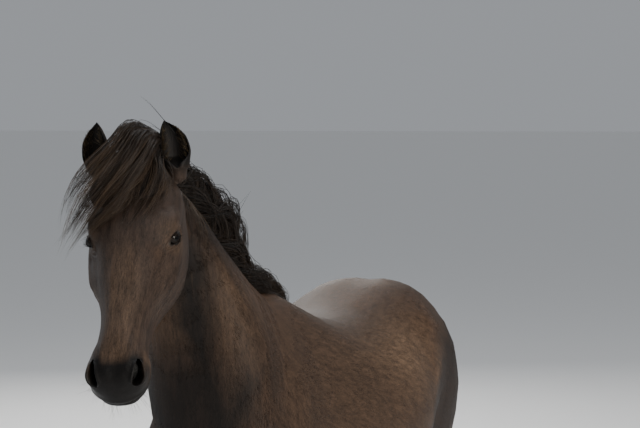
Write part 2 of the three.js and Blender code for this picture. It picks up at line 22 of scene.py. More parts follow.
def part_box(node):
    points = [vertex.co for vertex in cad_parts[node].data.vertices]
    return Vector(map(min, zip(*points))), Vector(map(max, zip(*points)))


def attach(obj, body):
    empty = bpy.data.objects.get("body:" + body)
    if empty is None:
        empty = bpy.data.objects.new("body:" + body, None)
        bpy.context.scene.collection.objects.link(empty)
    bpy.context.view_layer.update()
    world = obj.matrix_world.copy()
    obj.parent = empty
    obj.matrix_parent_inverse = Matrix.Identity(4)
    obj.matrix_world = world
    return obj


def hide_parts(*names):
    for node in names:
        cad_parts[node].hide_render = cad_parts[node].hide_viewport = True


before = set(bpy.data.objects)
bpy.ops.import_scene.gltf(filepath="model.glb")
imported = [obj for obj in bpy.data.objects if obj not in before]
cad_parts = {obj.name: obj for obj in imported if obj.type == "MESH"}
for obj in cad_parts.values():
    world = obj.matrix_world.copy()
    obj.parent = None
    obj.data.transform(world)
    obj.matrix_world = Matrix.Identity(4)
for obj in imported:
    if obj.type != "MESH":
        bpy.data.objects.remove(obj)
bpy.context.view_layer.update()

Array = np.ndarray
# A function of the share along a form and the turn round it, which gives the form's points.
Ring = Callable[[Array, Array], Array]
log = logging.getLogger("horse")
MM = 0.001
WITHERS_HEIGHT = 1382.0
CROUP_HEIGHT = 1346.0
HEAD_YAW = 16.0
FLESH_NODES = ("head", "neck", "trunk", "ear_left", "ear_right", "foreleg_left", "foreleg_right",
               "hindleg_left", "hindleg_right")


class Side(IntEnum):
    """The horse's own left and right, as the sign of x."""

    LEFT = 1
    RIGHT = -1

    @property
    def flip(self) -> Array:
        """Returns what a place on the left is multiplied by to lie on this side."""
        return np.array([self.value, 1, 1])


class Slot(Enum):
    """The material slots."""

    COAT = "coat"
    HAIR = "hair"
    HORN = "horn"
    EYE = "eye"


class Grain(Enum):
    """The node groups that give hair its grain: fine, or laid along the lie of the coat."""

    FINE = "hair_grain"
    LAIN = "lain_grain"


# Arithmetic on arrays of points

def ease(low: float, high: float, value: Array | float) -> Array:
    """Returns the smooth step from 0 at low to 1 at high."""
    part = np.clip((np.asarray(value, float) - low) / (high - low), 0, 1)
    return part * part * (3 - 2 * part)


def unit(vectors: Array) -> Array:
    """Returns the vectors at length one."""
    vectors = np.asarray(vectors, float)
    return vectors / np.maximum(np.linalg.norm(vectors, axis=-1, keepdims=True), 1e-9)


def mix(low: Array | float, high: Array | float, share: Array | float) -> Array:
    """Returns the value at a share of the way from low to high."""
    return low + (high - low) * share


def bell(*terms: tuple) -> Array:
    """Returns a soft spot, 1 at its middle, from values that each come with their middle and reach."""
    return np.exp(-sum(((value - middle) / reach) ** 2 for value, middle, reach in terms))


def cos_sin(degrees: float) -> tuple[float, float]:
    """Returns the cosine and the sine of an angle in degrees."""
    return math.cos(math.radians(degrees)), math.sin(math.radians(degrees))


def turned(points: Array, degrees: float) -> Array:
    """Returns the points turned about the vertical."""
    c, s = cos_sin(degrees)
    return np.stack([points[..., 0] * c - points[..., 1] * s, points[..., 0] * s + points[..., 1] * c,
                     points[..., 2]], axis=-1)


# Large primes that mix the numbers of a cell into one, with the one for the seed last but one.
CELL_PRIMES = (73856093, 19349663, 83492791, 7919, 1274126177)


def noise(points: Array, size: float, seed: int) -> Array:
    """Returns smooth noise from 0 to 1.

    Args:
        points: places, one row each.
        size: the distance over which the noise changes.
        seed: which of the noises is meant.

    Returns:
        One value for each place.
    """
    a, b, c, d, e = CELL_PRIMES
    scaled = np.asarray(points, float) / size + 1000.0
    cell = np.floor(scaled).astype(np.int64)
    inside = scaled - cell
    inside = inside * inside * (3 - 2 * inside)
    total = np.zeros(len(scaled))
    for corner in product((0, 1), repeat=3):
        at = cell + np.array(corner)
        key = (at[:, 0] * a) ^ (at[:, 1] * b) ^ (at[:, 2] * c) ^ (seed * d)
        key = ((key ^ (key >> 13)) * e) & 0xFFFFFFFF
        value = ((key ^ (key >> 16)) & 0xFFFF) / 0xFFFF
        total += value * np.prod(np.where(np.array(corner) == 1, inside, 1 - inside), axis=1)
    return total


def outline(angle: Array, side: Array, up: Array, down: Array, square: tuple) -> tuple[Array, Array]:
    """Returns the points of a rounded outline.

    Args:
        angle: turn round the outline from its top, in radians.
        side: half width.
        up: height above the widest point.
        down: depth below it.
        square: how square the upper and the lower half are.

    Returns:
        The places across and up.
    """
    s, c = np.sin(angle), np.cos(angle)
    power = 2 / np.where(c > 0, square[0], square[1])
    return (side * np.sign(s) * np.abs(s) ** power,
            np.where(c > 0, up, down) * np.sign(c) * np.abs(c) ** power)


def swelling(forms: tuple, points: Array) -> Array:
    """Returns the lift that soft swellings and hollows, which lie on both sides, give each point.

    Args:
        forms: rows of a centre, three radii and a lift.
        points: places on the axes that the forms are given on.

    Returns:
        The lift at each point.
    """
    lift = np.zeros(points.shape[:-1])
    for cx, cy, cz, rx, ry, rz, high in forms:
        for side in ((1, -1) if cx else (1,)):
            lift += high * bell((points[..., 0], side * cx, rx), (points[..., 1], cy, ry),
                                (points[..., 2], cz, rz))
    return lift


class Stations:
    """Values that run smoothly through stations without overshooting them."""

    def __init__(self, *rows: tuple) -> None:
        """Takes the stations, each its place along the form followed by its values."""
        table = np.array(sorted(rows), float)
        self.at, self.values = table[:, 0], table[:, 1:]
        rise = np.diff(self.values, axis=0) / np.diff(self.at)[:, None]
        both, total = rise[:-1] * rise[1:], rise[:-1] + rise[1:]
        inner = np.where(both > 0, 2 * both / np.where(total == 0, 1, total), 0)
        flat = np.zeros_like(rise[:1])
        self.slopes = np.vstack([flat, inner, flat])

    def __call__(self, at: Array | float) -> tuple[Array, ...]:
        """Returns each of the values at the places given."""
        at = np.clip(np.asarray(at, float), self.at[0], self.at[-1])
        k = np.clip(np.searchsorted(self.at, at, side="right") - 1, 0, len(self.at) - 2)
        step = (self.at[k + 1] - self.at[k])[..., None]
        u = (at - self.at[k])[..., None] / step
        m0, m1 = self.slopes[k] * step, self.slopes[k + 1] * step
        rise = self.values[k + 1] - self.values[k]
        found = self.values[k] + u * (m0 + u * (3 * rise - 2 * m0 - m1 + u * (m0 + m1 - 2 * rise)))
        return tuple(found[..., i] for i in range(found.shape[-1]))


# The horse's own axes

@dataclass(frozen=True)
class HeadAxes:
    """The head's own axes: side to the left, along from the poll to the lips, rise towards the forehead."""

    pitch: float = 45.0
    roll: float = math.radians(2.5)
    poll: tuple = (-61.0, -828.0, 1645.0)

    def out(self, local: Array) -> Array:
        """Returns places on the head's axes as places on the body's."""
        c, s = cos_sin(self.pitch)
        side, along, rise = local[..., 0], local[..., 1], local[..., 2]
        ahead, up = along * c + rise * s, rise * c - along * s
        placed = np.stack([side - up * self.roll, -ahead, up + side * self.roll], axis=-1)
        return turned(placed, HEAD_YAW) + np.array(self.poll)

    def into(self, points: Array) -> Array:
        """Returns places on the body's axes as places on the head's."""
        c, s = cos_sin(self.pitch)
        placed = turned(points - np.array(self.poll), -HEAD_YAW)
        size = 1 + self.roll**2
        side = (placed[..., 0] + placed[..., 2] * self.roll) / size
        up = (placed[..., 2] - placed[..., 0] * self.roll) / size
        return np.stack([side, -placed[..., 1] * c - up * s, -placed[..., 1] * s + up * c], axis=-1)


HEAD = HeadAxes()
EYE_PLACE = np.array([79.0, 182.0, 42.0])
EYE_RADIUS = 21.0


def folded(head: Array) -> Array:
    """Returns places on the head's axes with its right half laid over its left."""
    return np.concatenate([np.abs(head[:, :1]), head[:, 1:]], axis=1)


def row_shift() -> float:
    """Returns how far the row frame is moved along y, in millimetres, from where the left eye is."""
    low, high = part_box("eye_left")
    return (low.y + high.y) / 2 / MM - HEAD.out(EYE_PLACE)[1]


SHIFT = np.array([0.0, row_shift(), 0.0])


# Meshes and objects

def read(items: bpy.types.bpy_prop_collection, name: str, width: int, kind: type = np.float32) -> Array:
    """Returns one property of a mesh's items.

    Args:
        items: the mesh's points, edges or triangles.
        name: the property's name.
        width: how many numbers it has.
        kind: the kind of number.

    Returns:
        A row of numbers for each item.
    """
    flat = np.empty(len(items) * width, kind)
    items.foreach_get(name, flat)
    return flat.reshape(-1, width)


def points_of(mesh: Mesh) -> Array:
    """Returns a mesh's points in millimetres on the body's axes."""
    return read(mesh.vertices, "co", 3).astype(float) / MM - SHIFT


def set_points(mesh: Mesh, points: Array) -> None:
    """Moves a mesh's points to places in millimetres on the body's axes."""
    mesh.vertices.foreach_set("co", ((points + SHIFT) * MM).astype(np.float32).ravel())
    mesh.update()


def normals_of(mesh: Mesh) -> Array:
    """Returns the direction that a mesh faces at each of its points."""
    return read(mesh.vertex_normals, "vector", 3).astype(float)


def edges_of(mesh: Mesh) -> Array:
    """Returns the pairs of points that a mesh's edges join."""
    return read(mesh.edges, "vertices", 2, np.int32)


def new_piece(name: str, mesh: Mesh) -> Object:
    """Returns a new object in the scene that shows a mesh."""
    mesh.name = name
    piece = bpy.data.objects.new(name, mesh)
    bpy.context.scene.collection.objects.link(piece)
    return piece


def finished(piece: Object) -> Object:
    """Returns the object with its modifiers made part of its mesh."""
    depsgraph = bpy.context.evaluated_depsgraph_get()
    mesh = bpy.data.meshes.new_from_object(piece.evaluated_get(depsgraph))
    piece.modifiers.clear()
    old, piece.data = piece.data, mesh
    mesh.name = piece.name
    bpy.data.meshes.remove(old)
    return piece


def evened(piece: Object, voxel: float) -> Object:
    """Returns the object with its surface made again from even squares.

    Args:
        piece: an object of closed forms, which may pass into each other.
        voxel: the size of the squares in millimetres.

    Returns:
        The same object with its new mesh.
    """
    remesh = piece.modifiers.new("even", "REMESH")
    remesh.mode = "VOXEL"
    remesh.voxel_size = voxel * MM
    return finished(piece)


def mesh_of(name: str, form: bmesh.types.BMesh) -> Mesh:
    """Returns what was modelled with bmesh operators as a mesh."""
    mesh = bpy.data.meshes.new(name)
    form.to_mesh(mesh)
    form.free()
    return mesh


def joined(name: str, meshes: Iterable[Mesh]) -> Mesh:
    """Returns several meshes as one in their place."""
    forms = bmesh.new()
    for mesh in meshes:
        forms.from_mesh(mesh)
        bpy.data.meshes.remove(mesh)
    return mesh_of(name, forms)


def array_mesh(name: str, points: Array, triangles: Array) -> Mesh:
    """Returns a smooth mesh of triangles.

    Args:
        name: the mesh's name.
        points: places in millimetres on the body's axes.
        triangles: three point numbers to each row.

    Returns:
        The mesh.
    """
    mesh = bpy.data.meshes.new(name)
    mesh.vertices.add(len(points))
    mesh.loops.add(triangles.size)
    mesh.polygons.add(len(triangles))
    mesh.vertices.foreach_set("co", ((points + SHIFT) * MM).astype(np.float32).ravel())
    mesh.loops.foreach_set("vertex_index", triangles.astype(np.int32).ravel())
    mesh.polygons.foreach_set("loop_start", np.arange(0, triangles.size, 3, dtype=np.int32))
    mesh.update(calc_edges=True)
    mesh.shade_smooth()
    return mesh


def paint(mesh: Mesh, name: str, colours: Array) -> None:
    """Writes a colour, or a value as a grey, for each point of a mesh."""
    if colours.ndim == 1:
        colours = np.repeat(colours[:, None], 3, axis=1)
    rgba = np.ones((len(colours), 4), np.float32)
    rgba[:, :3] = np.clip(colours, 0, 1)
    layer = mesh.color_attributes.new(name, "FLOAT_COLOR", "POINT")
    layer.data.foreach_set("color", rgba.ravel())


def loft(rings: int, segments: int, ring: Ring) -> Mesh:
    """Returns a closed form made from rings, by shaping a sphere.

    Args:
        rings: how many steps the form has from end to end.
        segments: how many steps it has round each ring.
        ring: what gives the form's points.

    Returns:
        The form's mesh.
    """
    ball = bmesh.new()
    bmesh.ops.create_uvsphere(ball, u_segments=segments, v_segments=rings, radius=1.0)
    mesh = mesh_of("form", ball)
    at = read(mesh.vertices, "co", 3).astype(float)
    share = np.arccos(np.clip(at[:, 2], -1, 1)) / np.pi
    share = 0.6 * share + 0.4 * (0.5 - 0.5 * np.cos(np.pi * share))
    set_points(mesh, ring(share, np.arctan2(at[:, 0], at[:, 1])))
    return outward(mesh)


def outward(mesh: Mesh) -> Mesh:
    """Returns a closed mesh with its faces made to point out."""
    form = bmesh.new()
    form.from_mesh(mesh)
    bmesh.ops.recalc_face_normals(form, faces=form.faces[:])
    form.to_mesh(mesh)
    form.free()
    mesh.shade_smooth()
    return mesh


def rounded_ends(share: Array, length: float, blunt: tuple) -> Array:
    """Returns the scale that rounds off the two ends of a form.

    Args:
        share: places along the form, from 0 to 1.
        length: the form's length.
        blunt: over how long a stretch each end is rounded.

    Returns:
        The scale at each place.
    """
    near = [np.clip(part * length / over, 0, 1) for part, over in ((share, blunt[0]), (1 - share, blunt[1]))]
    return np.sqrt(1 - (1 - near[0]) ** 2) * np.sqrt(1 - (1 - near[1]) ** 2)


# The forms of the body

@dataclass(frozen=True)
class NeckFrame:
    """The neck's frame at some places along it."""

    middle: Array
    down: Array
    left: Array
    half: Array
    up: Array
    low: Array
    above: Array
    below: Array


@dataclass
class Neck:
    """The neck, from its root in the shoulders at 0 to the poll at 1."""

    sway: float = -61.0
    # Place, crest's forward and height, throat's forward and height, half width, share above, squareness.
    stations: Stations = Stations(
        (0.0, 300, 1330, 440, 860, 96, 0.62, 1.7, 2.2),
        (0.12, 384, 1386, 664, 936, 164, 0.64, 1.5, 2.2),
        (0.28, 474, 1442, 704, 1084, 162, 0.62, 1.42, 2.2),
        (0.44, 566, 1518, 710, 1210, 136, 0.6, 1.42, 2.2),
        (0.6, 660, 1600, 724, 1310, 112, 0.58, 1.5, 2.2),
        (0.76, 752, 1655, 748, 1392, 97, 0.55, 1.7, 2.2),
        (0.9, 826, 1680, 782, 1462, 92, 0.5, 1.8, 2.2),
        (1.0, 866, 1680, 840, 1516, 80, 0.5, 2.0, 2.2))

    def frame(self, t: Array) -> NeckFrame:
        """Returns the neck's frame at the places given."""
        crest_y, crest_z, throat_y, throat_z, half, share, above, below = self.stations(t)
        turn = np.radians(HEAD_YAW) * ease(0.35, 1, t)
        zero = np.zeros_like(crest_y)
        crest = np.stack([zero, -crest_y, crest_z], axis=-1)
        throat = np.stack([zero, -throat_y, throat_z], axis=-1)
        depth = np.linalg.norm(throat - crest, axis=-1)
        straight = unit(throat - crest)
        c, s = np.cos(turn), np.sin(turn)
        down = np.stack([-straight[..., 1] * s, straight[..., 1] * c, straight[..., 2]], axis=-1)
        left = np.stack([c, s, zero], axis=-1)
        middle = crest + (throat - crest) * share[..., None]
        middle[..., 0] += self.sway * ease(0.05, 1, t)
        return NeckFrame(middle, down, left, half, share * depth, (1 - share) * depth, above, below)

    def ring(self, share: Array, angle: Array) -> Array:
        """Returns the neck's surface at a share of its length and a turn round it."""
        f = self.frame(share)
        x, z = outline(angle, f.half, f.up, f.low, (f.above, f.below))
        near = np.maximum(0, np.maximum(1 - share / 0.05, 1 - (1 - share) / 0.06))
        end = np.sqrt(np.maximum(0, 1 - near**2))
        return f.middle + f.left * (x * end)[..., None] - f.down * (z * end)[..., None]

    def place_of(self, points: Array) -> Array:
        """Returns the place along the neck that each point is nearest to."""
        steps = np.linspace(0, 1, 41)
        f = self.frame(steps)
        across = np.cross(f.left, f.down)
        away = np.abs(np.einsum("nk,sk->ns", points, across) - np.einsum("sk,sk->s", f.middle, across))
        return steps[np.argmin(away, axis=1)]


NECK = Neck()


@dataclass
class Trunk:
    """The trunk, from the breast to the buttocks: forward, top, bottom, level, half width, squareness."""

    stations: Stations = Stations(
        (700, 1090, 912, 1010, 100, 2.1, 2.1), (640, 1180, 832, 1010, 168, 2.1, 2.2),
        (560, 1258, 780, 1000, 198, 1.9, 2.3), (470, 1336, 752, 985, 212, 1.7, 2.3),
        (390, WITHERS_HEIGHT - 8, 736, 975, 218, 1.55, 2.3),
        (330, WITHERS_HEIGHT - 2, 730, 970, 226, 1.55, 2.3),
        (230, 1346, 718, 970, 246, 1.75, 2.3), (110, 1298, 706, 975, 268, 2.0, 2.3),
        (0, 1283, 702, 980, 281, 2.1, 2.3), (-110, 1289, 712, 990, 287, 2.1, 2.3),
        (-210, 1307, 745, 1005, 280, 2.3, 2.2), (-310, 1331, 806, 1040, 260, 2.4, 2.2),
        (-410, CROUP_HEIGHT, 872, 1080, 248, 2.2, 2.2), (-510, 1334, 915, 1090, 240, 2.0, 2.2),
        (-600, 1286, 945, 1080, 216, 2.0, 2.2), (-680, 1210, 975, 1070, 172, 2.0, 2.2),
        (-728, 1140, 1010, 1070, 120, 2.0, 2.0))
    # Muscles and hollows: side, forward, height, their radii, and the lift.
    forms: tuple = (
        (160, 650, 1000, 60, 60, 85, 18), (205, 500, 905, 60, 95, 95, 12), (120, 440, 1215, 60, 90, 150, 10),
        (190, 560, 1150, 60, 40, 160, -8), (86, 690, 950, 56, 70, 90, 22), (0, 700, 950, 24, 80, 130, -12),
        (205, 330, 840, 60, 60, 90, -12), (0, -420, 1350, 26, 190, 40, -9), (120, -420, 1300, 70, 150, 60, 8),
        (212, -318, 1228, 54, 64, 50, 17), (235, -225, 1140, 60, 62, 90, -15))

    def ring(self, share: Array, angle: Array) -> Array:
        """Returns the trunk's surface at a share of its length and a turn round it."""
        front, rear = self.stations.at[-1], self.stations.at[0]
        forward = mix(front, rear, share)
        top, bottom, level, half, above, below = self.stations(forward)
        x, z = outline(angle, half, top - level, level - bottom, (above, below))
        lift = swelling(self.forms, np.stack([x, forward, level + z], axis=-1))
        scale = rounded_ends(share, front - rear, (90, 50)) * (1 + lift / np.maximum(np.hypot(x, z), 1))
        return np.stack([x * scale, -forward, level + z * scale], axis=-1)


@dataclass
class Skull:
    """The head without its ears: place along it, top, bottom, level, half width, squareness."""

    stations: Stations = Stations(
        (-12, 44, -58, 10, 68, 2.4, 2.0), (30, 70, -88, 16, 89, 2.7, 2.1), (80, 90, -115, 24, 97, 2.6, 2.2),
        (130, 98, -130, 30, 99, 2.5, 2.4), (180, 98, -136, 24, 98, 2.4, 2.5),
        (230, 91, -130, 6, 94, 2.2, 2.6), (264, 84, -119, 0, 87, 2.2, 2.6),
        (296, 78, -107, -2, 74, 2.3, 2.6), (334, 71, -95, -2, 61, 2.3, 2.6),
        (368, 65, -86, -4, 53, 2.4, 2.8), (402, 60, -78, -6, 50, 2.4, 3.0),
        (436, 56, -72, -8, 52, 2.4, 3.0), (470, 50, -68, -12, 58, 2.5, 2.8),
        (506, 40, -70, -14, 60, 2.6, 2.6), (536, 24, -66, -20, 54, 2.5, 2.4),
        (553, 6, -54, -24, 41, 2.3, 2.2))
    # Bones and hollows: side, along, rise, their radii, and the lift.
    forms: tuple = (
        (92, 152, 72, 28, 34, 20, 9), (82, 244, 50, 28, 40, 24, -8), (88, 200, 16, 30, 40, 14, 4),
        (72, 118, 80, 22, 24, 20, -7), (86, 258, 2, 30, 58, 14, 6), (84, 160, -60, 34, 76, 52, 14),
        (0, 250, -124, 24, 110, 34, -16), (60, 336, -40, 26, 60, 26, -4), (52, 500, 8, 22, 32, 26, 8),
        (0, 522, 30, 16, 26, 20, -5), (0, 548, -8, 40, 24, 18, 5), (0, 496, -70, 30, 26, 18, 7),
        (0, 440, -68, 34, 26, 18, -5))

    def ring(self, share: Array, angle: Array) -> Array:
        """Returns the head's surface at a share of its length and a turn round it."""
        poll, lips = self.stations.at[0], self.stations.at[-1]
        along = mix(poll, lips, share)
        top, bottom, level, half, above, below = self.stations(along)
        x, z = outline(angle, half, top - level, level - bottom, (above, below))
        lift = swelling(self.forms, np.stack([x, along, level + z], axis=-1))
        scale = rounded_ends(share, lips - poll, (40, 34)) * (1 + lift / np.maximum(np.hypot(x, z), 1))
        return HEAD.out(np.stack([x * scale, along, level + z * scale], axis=-1))


@dataclass
class Leg:
    """One leg, from the top down: height, forward, side, half length, half width, squareness."""

    side: Side
    fore: bool
    step: float
    stations: Stations

    def ring(self, share: Array, angle: Array) -> Array:
        """Returns the leg's surface at a share of its length and a turn round it."""
        top, foot = self.stations.at[-1], self.stations.at[0]
        up = mix(top, foot, share)
        forward, side, length, half, front, back = self.stations(up)
        end = rounded_ends(share, top - foot, (90, 2))
        x, y = outline(angle, half * end, length * end, length * end, (front, back))
        ahead = forward + y + self.step * (1 - ease(120, top * 0.85, up))
        return np.stack([self.side * (side + x), -ahead, up], axis=-1)


# Height, forward, side, half length, half width, squareness.
FORELEG_STATIONS = Stations(
    (980, 478, 112, 92, 60, 2.2, 2.2), (890, 462, 128, 108, 68, 2.2, 2.2),
    (800, 448, 137, 100, 63, 2.2, 2.1), (725, 441, 138, 76, 54, 2.2, 2.1),
    (650, 438, 135, 60, 45, 2.2, 2.1), (570, 436, 131, 47, 38, 2.2, 2.1), (500, 437, 129, 40, 35, 2.3, 2.2),
    (455, 439, 128, 43, 39, 2.5, 2.2), (425, 438, 128, 46, 41, 2.6, 2.2), (392, 434, 128, 42, 37, 2.4, 2.2),
    (350, 432, 128, 35, 28, 2.2, 2.2), (290, 431, 128, 33, 25, 2.2, 2.3), (232, 431, 128, 34, 26, 2.2, 2.3),
    (192, 430, 128, 41, 33, 2.2, 2.1), (160, 442, 128, 36, 31, 2.2, 2.2), (125, 460, 128, 31, 29, 2.2, 2.2),
    (90, 474, 128, 38, 37, 2.2, 2.2), (60, 482, 128, 46, 44, 2.1, 2.1), (22, 486, 128, 46, 44, 2.1, 2.1))
HINDLEG_STATIONS = Stations(
    (1290, -440, 92, 120, 60, 2.1, 2.1), (1210, -455, 110, 205, 96, 2.1, 2.1),
    (1120, -465, 124, 246, 112, 2.1, 2.1), (1030, -470, 131, 262, 114, 2.1, 2.1),
    (950, -463, 135, 252, 108, 2.1, 2.1), (880, -458, 138, 212, 97, 2.2, 2.1),
    (820, -470, 139, 164, 84, 2.2, 2.1), (755, -506, 138, 116, 67, 2.2, 2.1),
    (690, -548, 136, 88, 53, 2.2, 2.0), (630, -590, 134, 74, 43, 2.2, 1.8),
    (578, -628, 131, 76, 38, 2.2, 1.7), (535, -650, 129, 66, 40, 2.2, 1.9),
    (490, -664, 128, 50, 38, 2.3, 2.1), (435, -668, 127, 40, 31, 2.2, 2.2),
    (350, -665, 127, 36, 27, 2.2, 2.3), (265, -664, 127, 35, 27, 2.2, 2.3),
    (212, -660, 127, 42, 34, 2.2, 2.1), (178, -649, 127, 37, 31, 2.2, 2.2),
    (138, -629, 127, 32, 29, 2.2, 2.2), (98, -609, 127, 38, 36, 2.2, 2.2),
    (62, -597, 127, 46, 44, 2.1, 2.1), (22, -592, 127, 46, 44, 2.1, 2.1))


LEGS = {
    "foreleg_left": Leg(Side.LEFT, True, 26, FORELEG_STATIONS),
    "foreleg_right": Leg(Side.RIGHT, True, -16, FORELEG_STATIONS),
    "hindleg_left": Leg(Side.LEFT, False, -26, HINDLEG_STATIONS),
    "hindleg_right": Leg(Side.RIGHT, False, 42, HINDLEG_STATIONS),
}


@dataclass
class Ear:
    """One ear: a leaf rolled round its own hollow, which opens forward."""

    side: Side
    splay: float
    lean: float
    wall: float = 4.5
    mouth: float = math.radians(58)
    # How gently the ear bends forward: its height squared, over this, is how far.
    curl: float = 1400.0
    # Place up it, half width, half depth, bow to the outside.
    stations: Stations = Stations(
        (-22, 20, 18, 0), (0, 25, 22, 0), (26, 31, 24, 0), (52, 35, 22, 1), (80, 31, 18, 0),
        (104, 19, 12, -6), (124, 3, 4, -14))

    def frame(self) -> tuple[Array, Array, Array, Array]:
        """Returns the ear's root and its directions up, across to the outside, and facing."""
        left = self.side
        root = HEAD.out(np.array([left * self.splay, 14.0, 56.0]))
        up = unit(np.array([left * self.lean, -0.06, 1.0]))
        spin = Matrix.Rotation(math.radians(HEAD_YAW + left * 16), 3, Vector(up))
        facing = np.array(spin @ Vector((0, -1, 0)))
        facing = unit(facing - up * (facing @ up))
        return root, up, np.cross(facing, up) * -left, facing

    def local(self, points: Array) -> tuple[Array, Array, Array]:
        """Returns how high up the ear points are, how far out for its size, and how far round."""
        root, up, across, facing = self.frame()
        away = points - root
        tall = away @ up
        half, deep, bow = self.stations(np.clip(tall, self.stations.at[0], self.stations.at[-1] - 2))
        x, y = (away @ across - bow) / half, (away @ facing + tall * tall / self.curl) / deep
        return tall, np.hypot(x, y), np.arctan2(np.abs(x), y)

    def placed(self, at: Array, x: Array, y: Array) -> Array:
        """Returns places at some heights up the ear, across it and towards its front."""
        root, up, across, facing = self.frame()
        bow = self.stations(at)[2]
        return (root + up * at[:, None] + across * (x + bow)[:, None]
                + facing * (y - at * at / self.curl)[:, None])

    def ring(self, share: Array, angle: Array) -> Array:
        """Returns the ear's surface: out round its back for half a turn, and home through its hollow."""
        base, tip = self.stations.at[0], self.stations.at[-1]
        at = mix(base, tip, share)
        half, deep, _ = self.stations(at)
        turn = (angle / (2 * np.pi)) % 1.0
        inside = turn >= 0.5
        part = np.where(inside, 2 - 2 * turn, 2 * turn)
        mouth = self.mouth * np.sqrt(ease(14, 60, at))
        round_it = mix(mouth, 2 * np.pi - mouth, part)
        rim = np.sqrt(np.maximum(0, 1 - np.abs(2 * part - 1) ** 7))
        wall = np.minimum(self.wall * rim, half * 0.45) / half
        hollow = np.where(inside, ease(8, 44, at), 1.0)
        scale = np.where(inside, 1 - wall, 1.0) * rounded_ends(share, tip - base, (16, 10))
        x = np.sin(round_it) * half * scale * hollow
        y = mix(0.92 * deep * scale, np.cos(round_it) * deep * scale, hollow)
        return self.placed(at, x, y)


EARS = {"ear_left": Ear(Side.LEFT, 80, -0.1), "ear_right": Ear(Side.RIGHT, 86, 0.25)}


def leaning(points: Array) -> Array:
    """Returns how far each point is past the cut between the trunk and the neck."""
    return ((-points[..., 1] - 560) + (points[..., 2] - 1270)) * math.sqrt(0.5)


class Region(IntEnum):
    """The parts of the skin, which carry different hair."""

    TRUNK = 0
    NECK = 1
    HEAD = 2
    FORELEG = 3
    HINDLEG = 4
    EAR = 5


def on_head(points: Array) -> Array:
    """Returns how far each point belongs to the head, from 0 on the neck to 1."""
    head = HEAD.into(points)
    return ease(-30, 50, head[:, 1]) * ease(-185, -140, head[:, 2])


def regions_of(points: Array) -> Array:
    """Returns the number of the region that each point is in."""
    x, ahead, up = points[:, 0], -points[:, 1], points[:, 2]
    found = np.full(len(points), Region.TRUNK)
    found[(leaning(points) > 0) & (up > 1040)] = Region.NECK
    found[(up < 730) & (ahead > 150)] = Region.FORELEG
    found[(up < 940 + 0.25 * (-ahead - 560)) & (ahead < -220) & (np.abs(x) > 1)] = Region.HINDLEG
    found[on_head(points) > 0.5] = Region.HEAD
    for ear in EARS.values():
        root, upward, _, _ = ear.frame()
        away = points - root
        tall = away @ upward
        near = np.linalg.norm(away - tall[:, None] * upward, axis=1)
        found[(tall > 14) & (near < 50)] = Region.EAR
    return found


# The head's features, cut into the skin

@dataclass(frozen=True)
class EyeOpening:
    """The almond between the lids, the lids themselves and their folds, on the head's axes."""

    gaze: tuple = (0.8, 0.42, 0.42)
    slit: tuple = (0.60, -0.80, -0.06)
    length: float = 18.6
    above: float = 8.0
    under: float = 5.8
    lid: float = 2.6

    def axes(self) -> tuple[Array, Array, Array]:
        """Returns the directions of the gaze, of the slit to the rear, and up across the lids."""
        gaze = unit(np.array(self.gaze))
        slit = np.array(self.slit)
        slit = unit(slit - gaze * (slit @ gaze))
        return gaze, slit, np.cross(slit, gaze) * -1.0

    def local(self, head: Array, side: Side) -> tuple[Array, Array, Array]:
        """Returns how far points on the head's axes are out of the eye, along its slit and over it."""
        gaze, slit, over = self.axes()
        mirrored = head * side.flip - EYE_PLACE
        return mirrored @ gaze, mirrored @ slit, mirrored @ over

    def carve(self, head: Array, side: Side) -> Array:
        """Models the lids of one eye round its opening, and their folds.

        Args:
            head: the skin's points on the head's axes.
            side: which eye.

        Returns:
            The moved points.
        """
        gaze = self.axes()[0]
        out, run, high = self.local(head, side)
        near = (out > -8) & (np.hypot(run, high) < 52)
        tall = np.where(high > 0, self.above, self.under)
        open_at = (np.abs(run / self.length) ** 1.7 + np.abs(high / tall) ** 1.7) ** (1 / 1.7)
        flat = run**2 + high**2
        ball = np.sqrt(np.maximum(0, EYE_RADIUS**2 - flat))
        shell = np.sqrt(np.maximum(0, (EYE_RADIUS + self.lid) ** 2 - flat))
        fade = 1 - ease(1.25, 2.5, open_at)
        lids = np.maximum(out, mix(out, shell, fade))
        fold = np.where(high > 0, 2.2, 1.3) * bell((open_at, 1.72, 0.16))
        brow = 1.6 * bell((open_at, 2.5, 0.2)) * (high > 0)
        bag = 1.3 * bell((open_at, 2.2, 0.25)) * (high <= 0)
        lids = lids - fold - brow + bag + 0.9 * bell((open_at, 1.15, 0.14))
        target = np.where(open_at < 1, np.minimum(out, ball - 6), lids)
        shift = np.where(near, target - out, 0)
        return head + gaze * side.flip * shift[:, None]


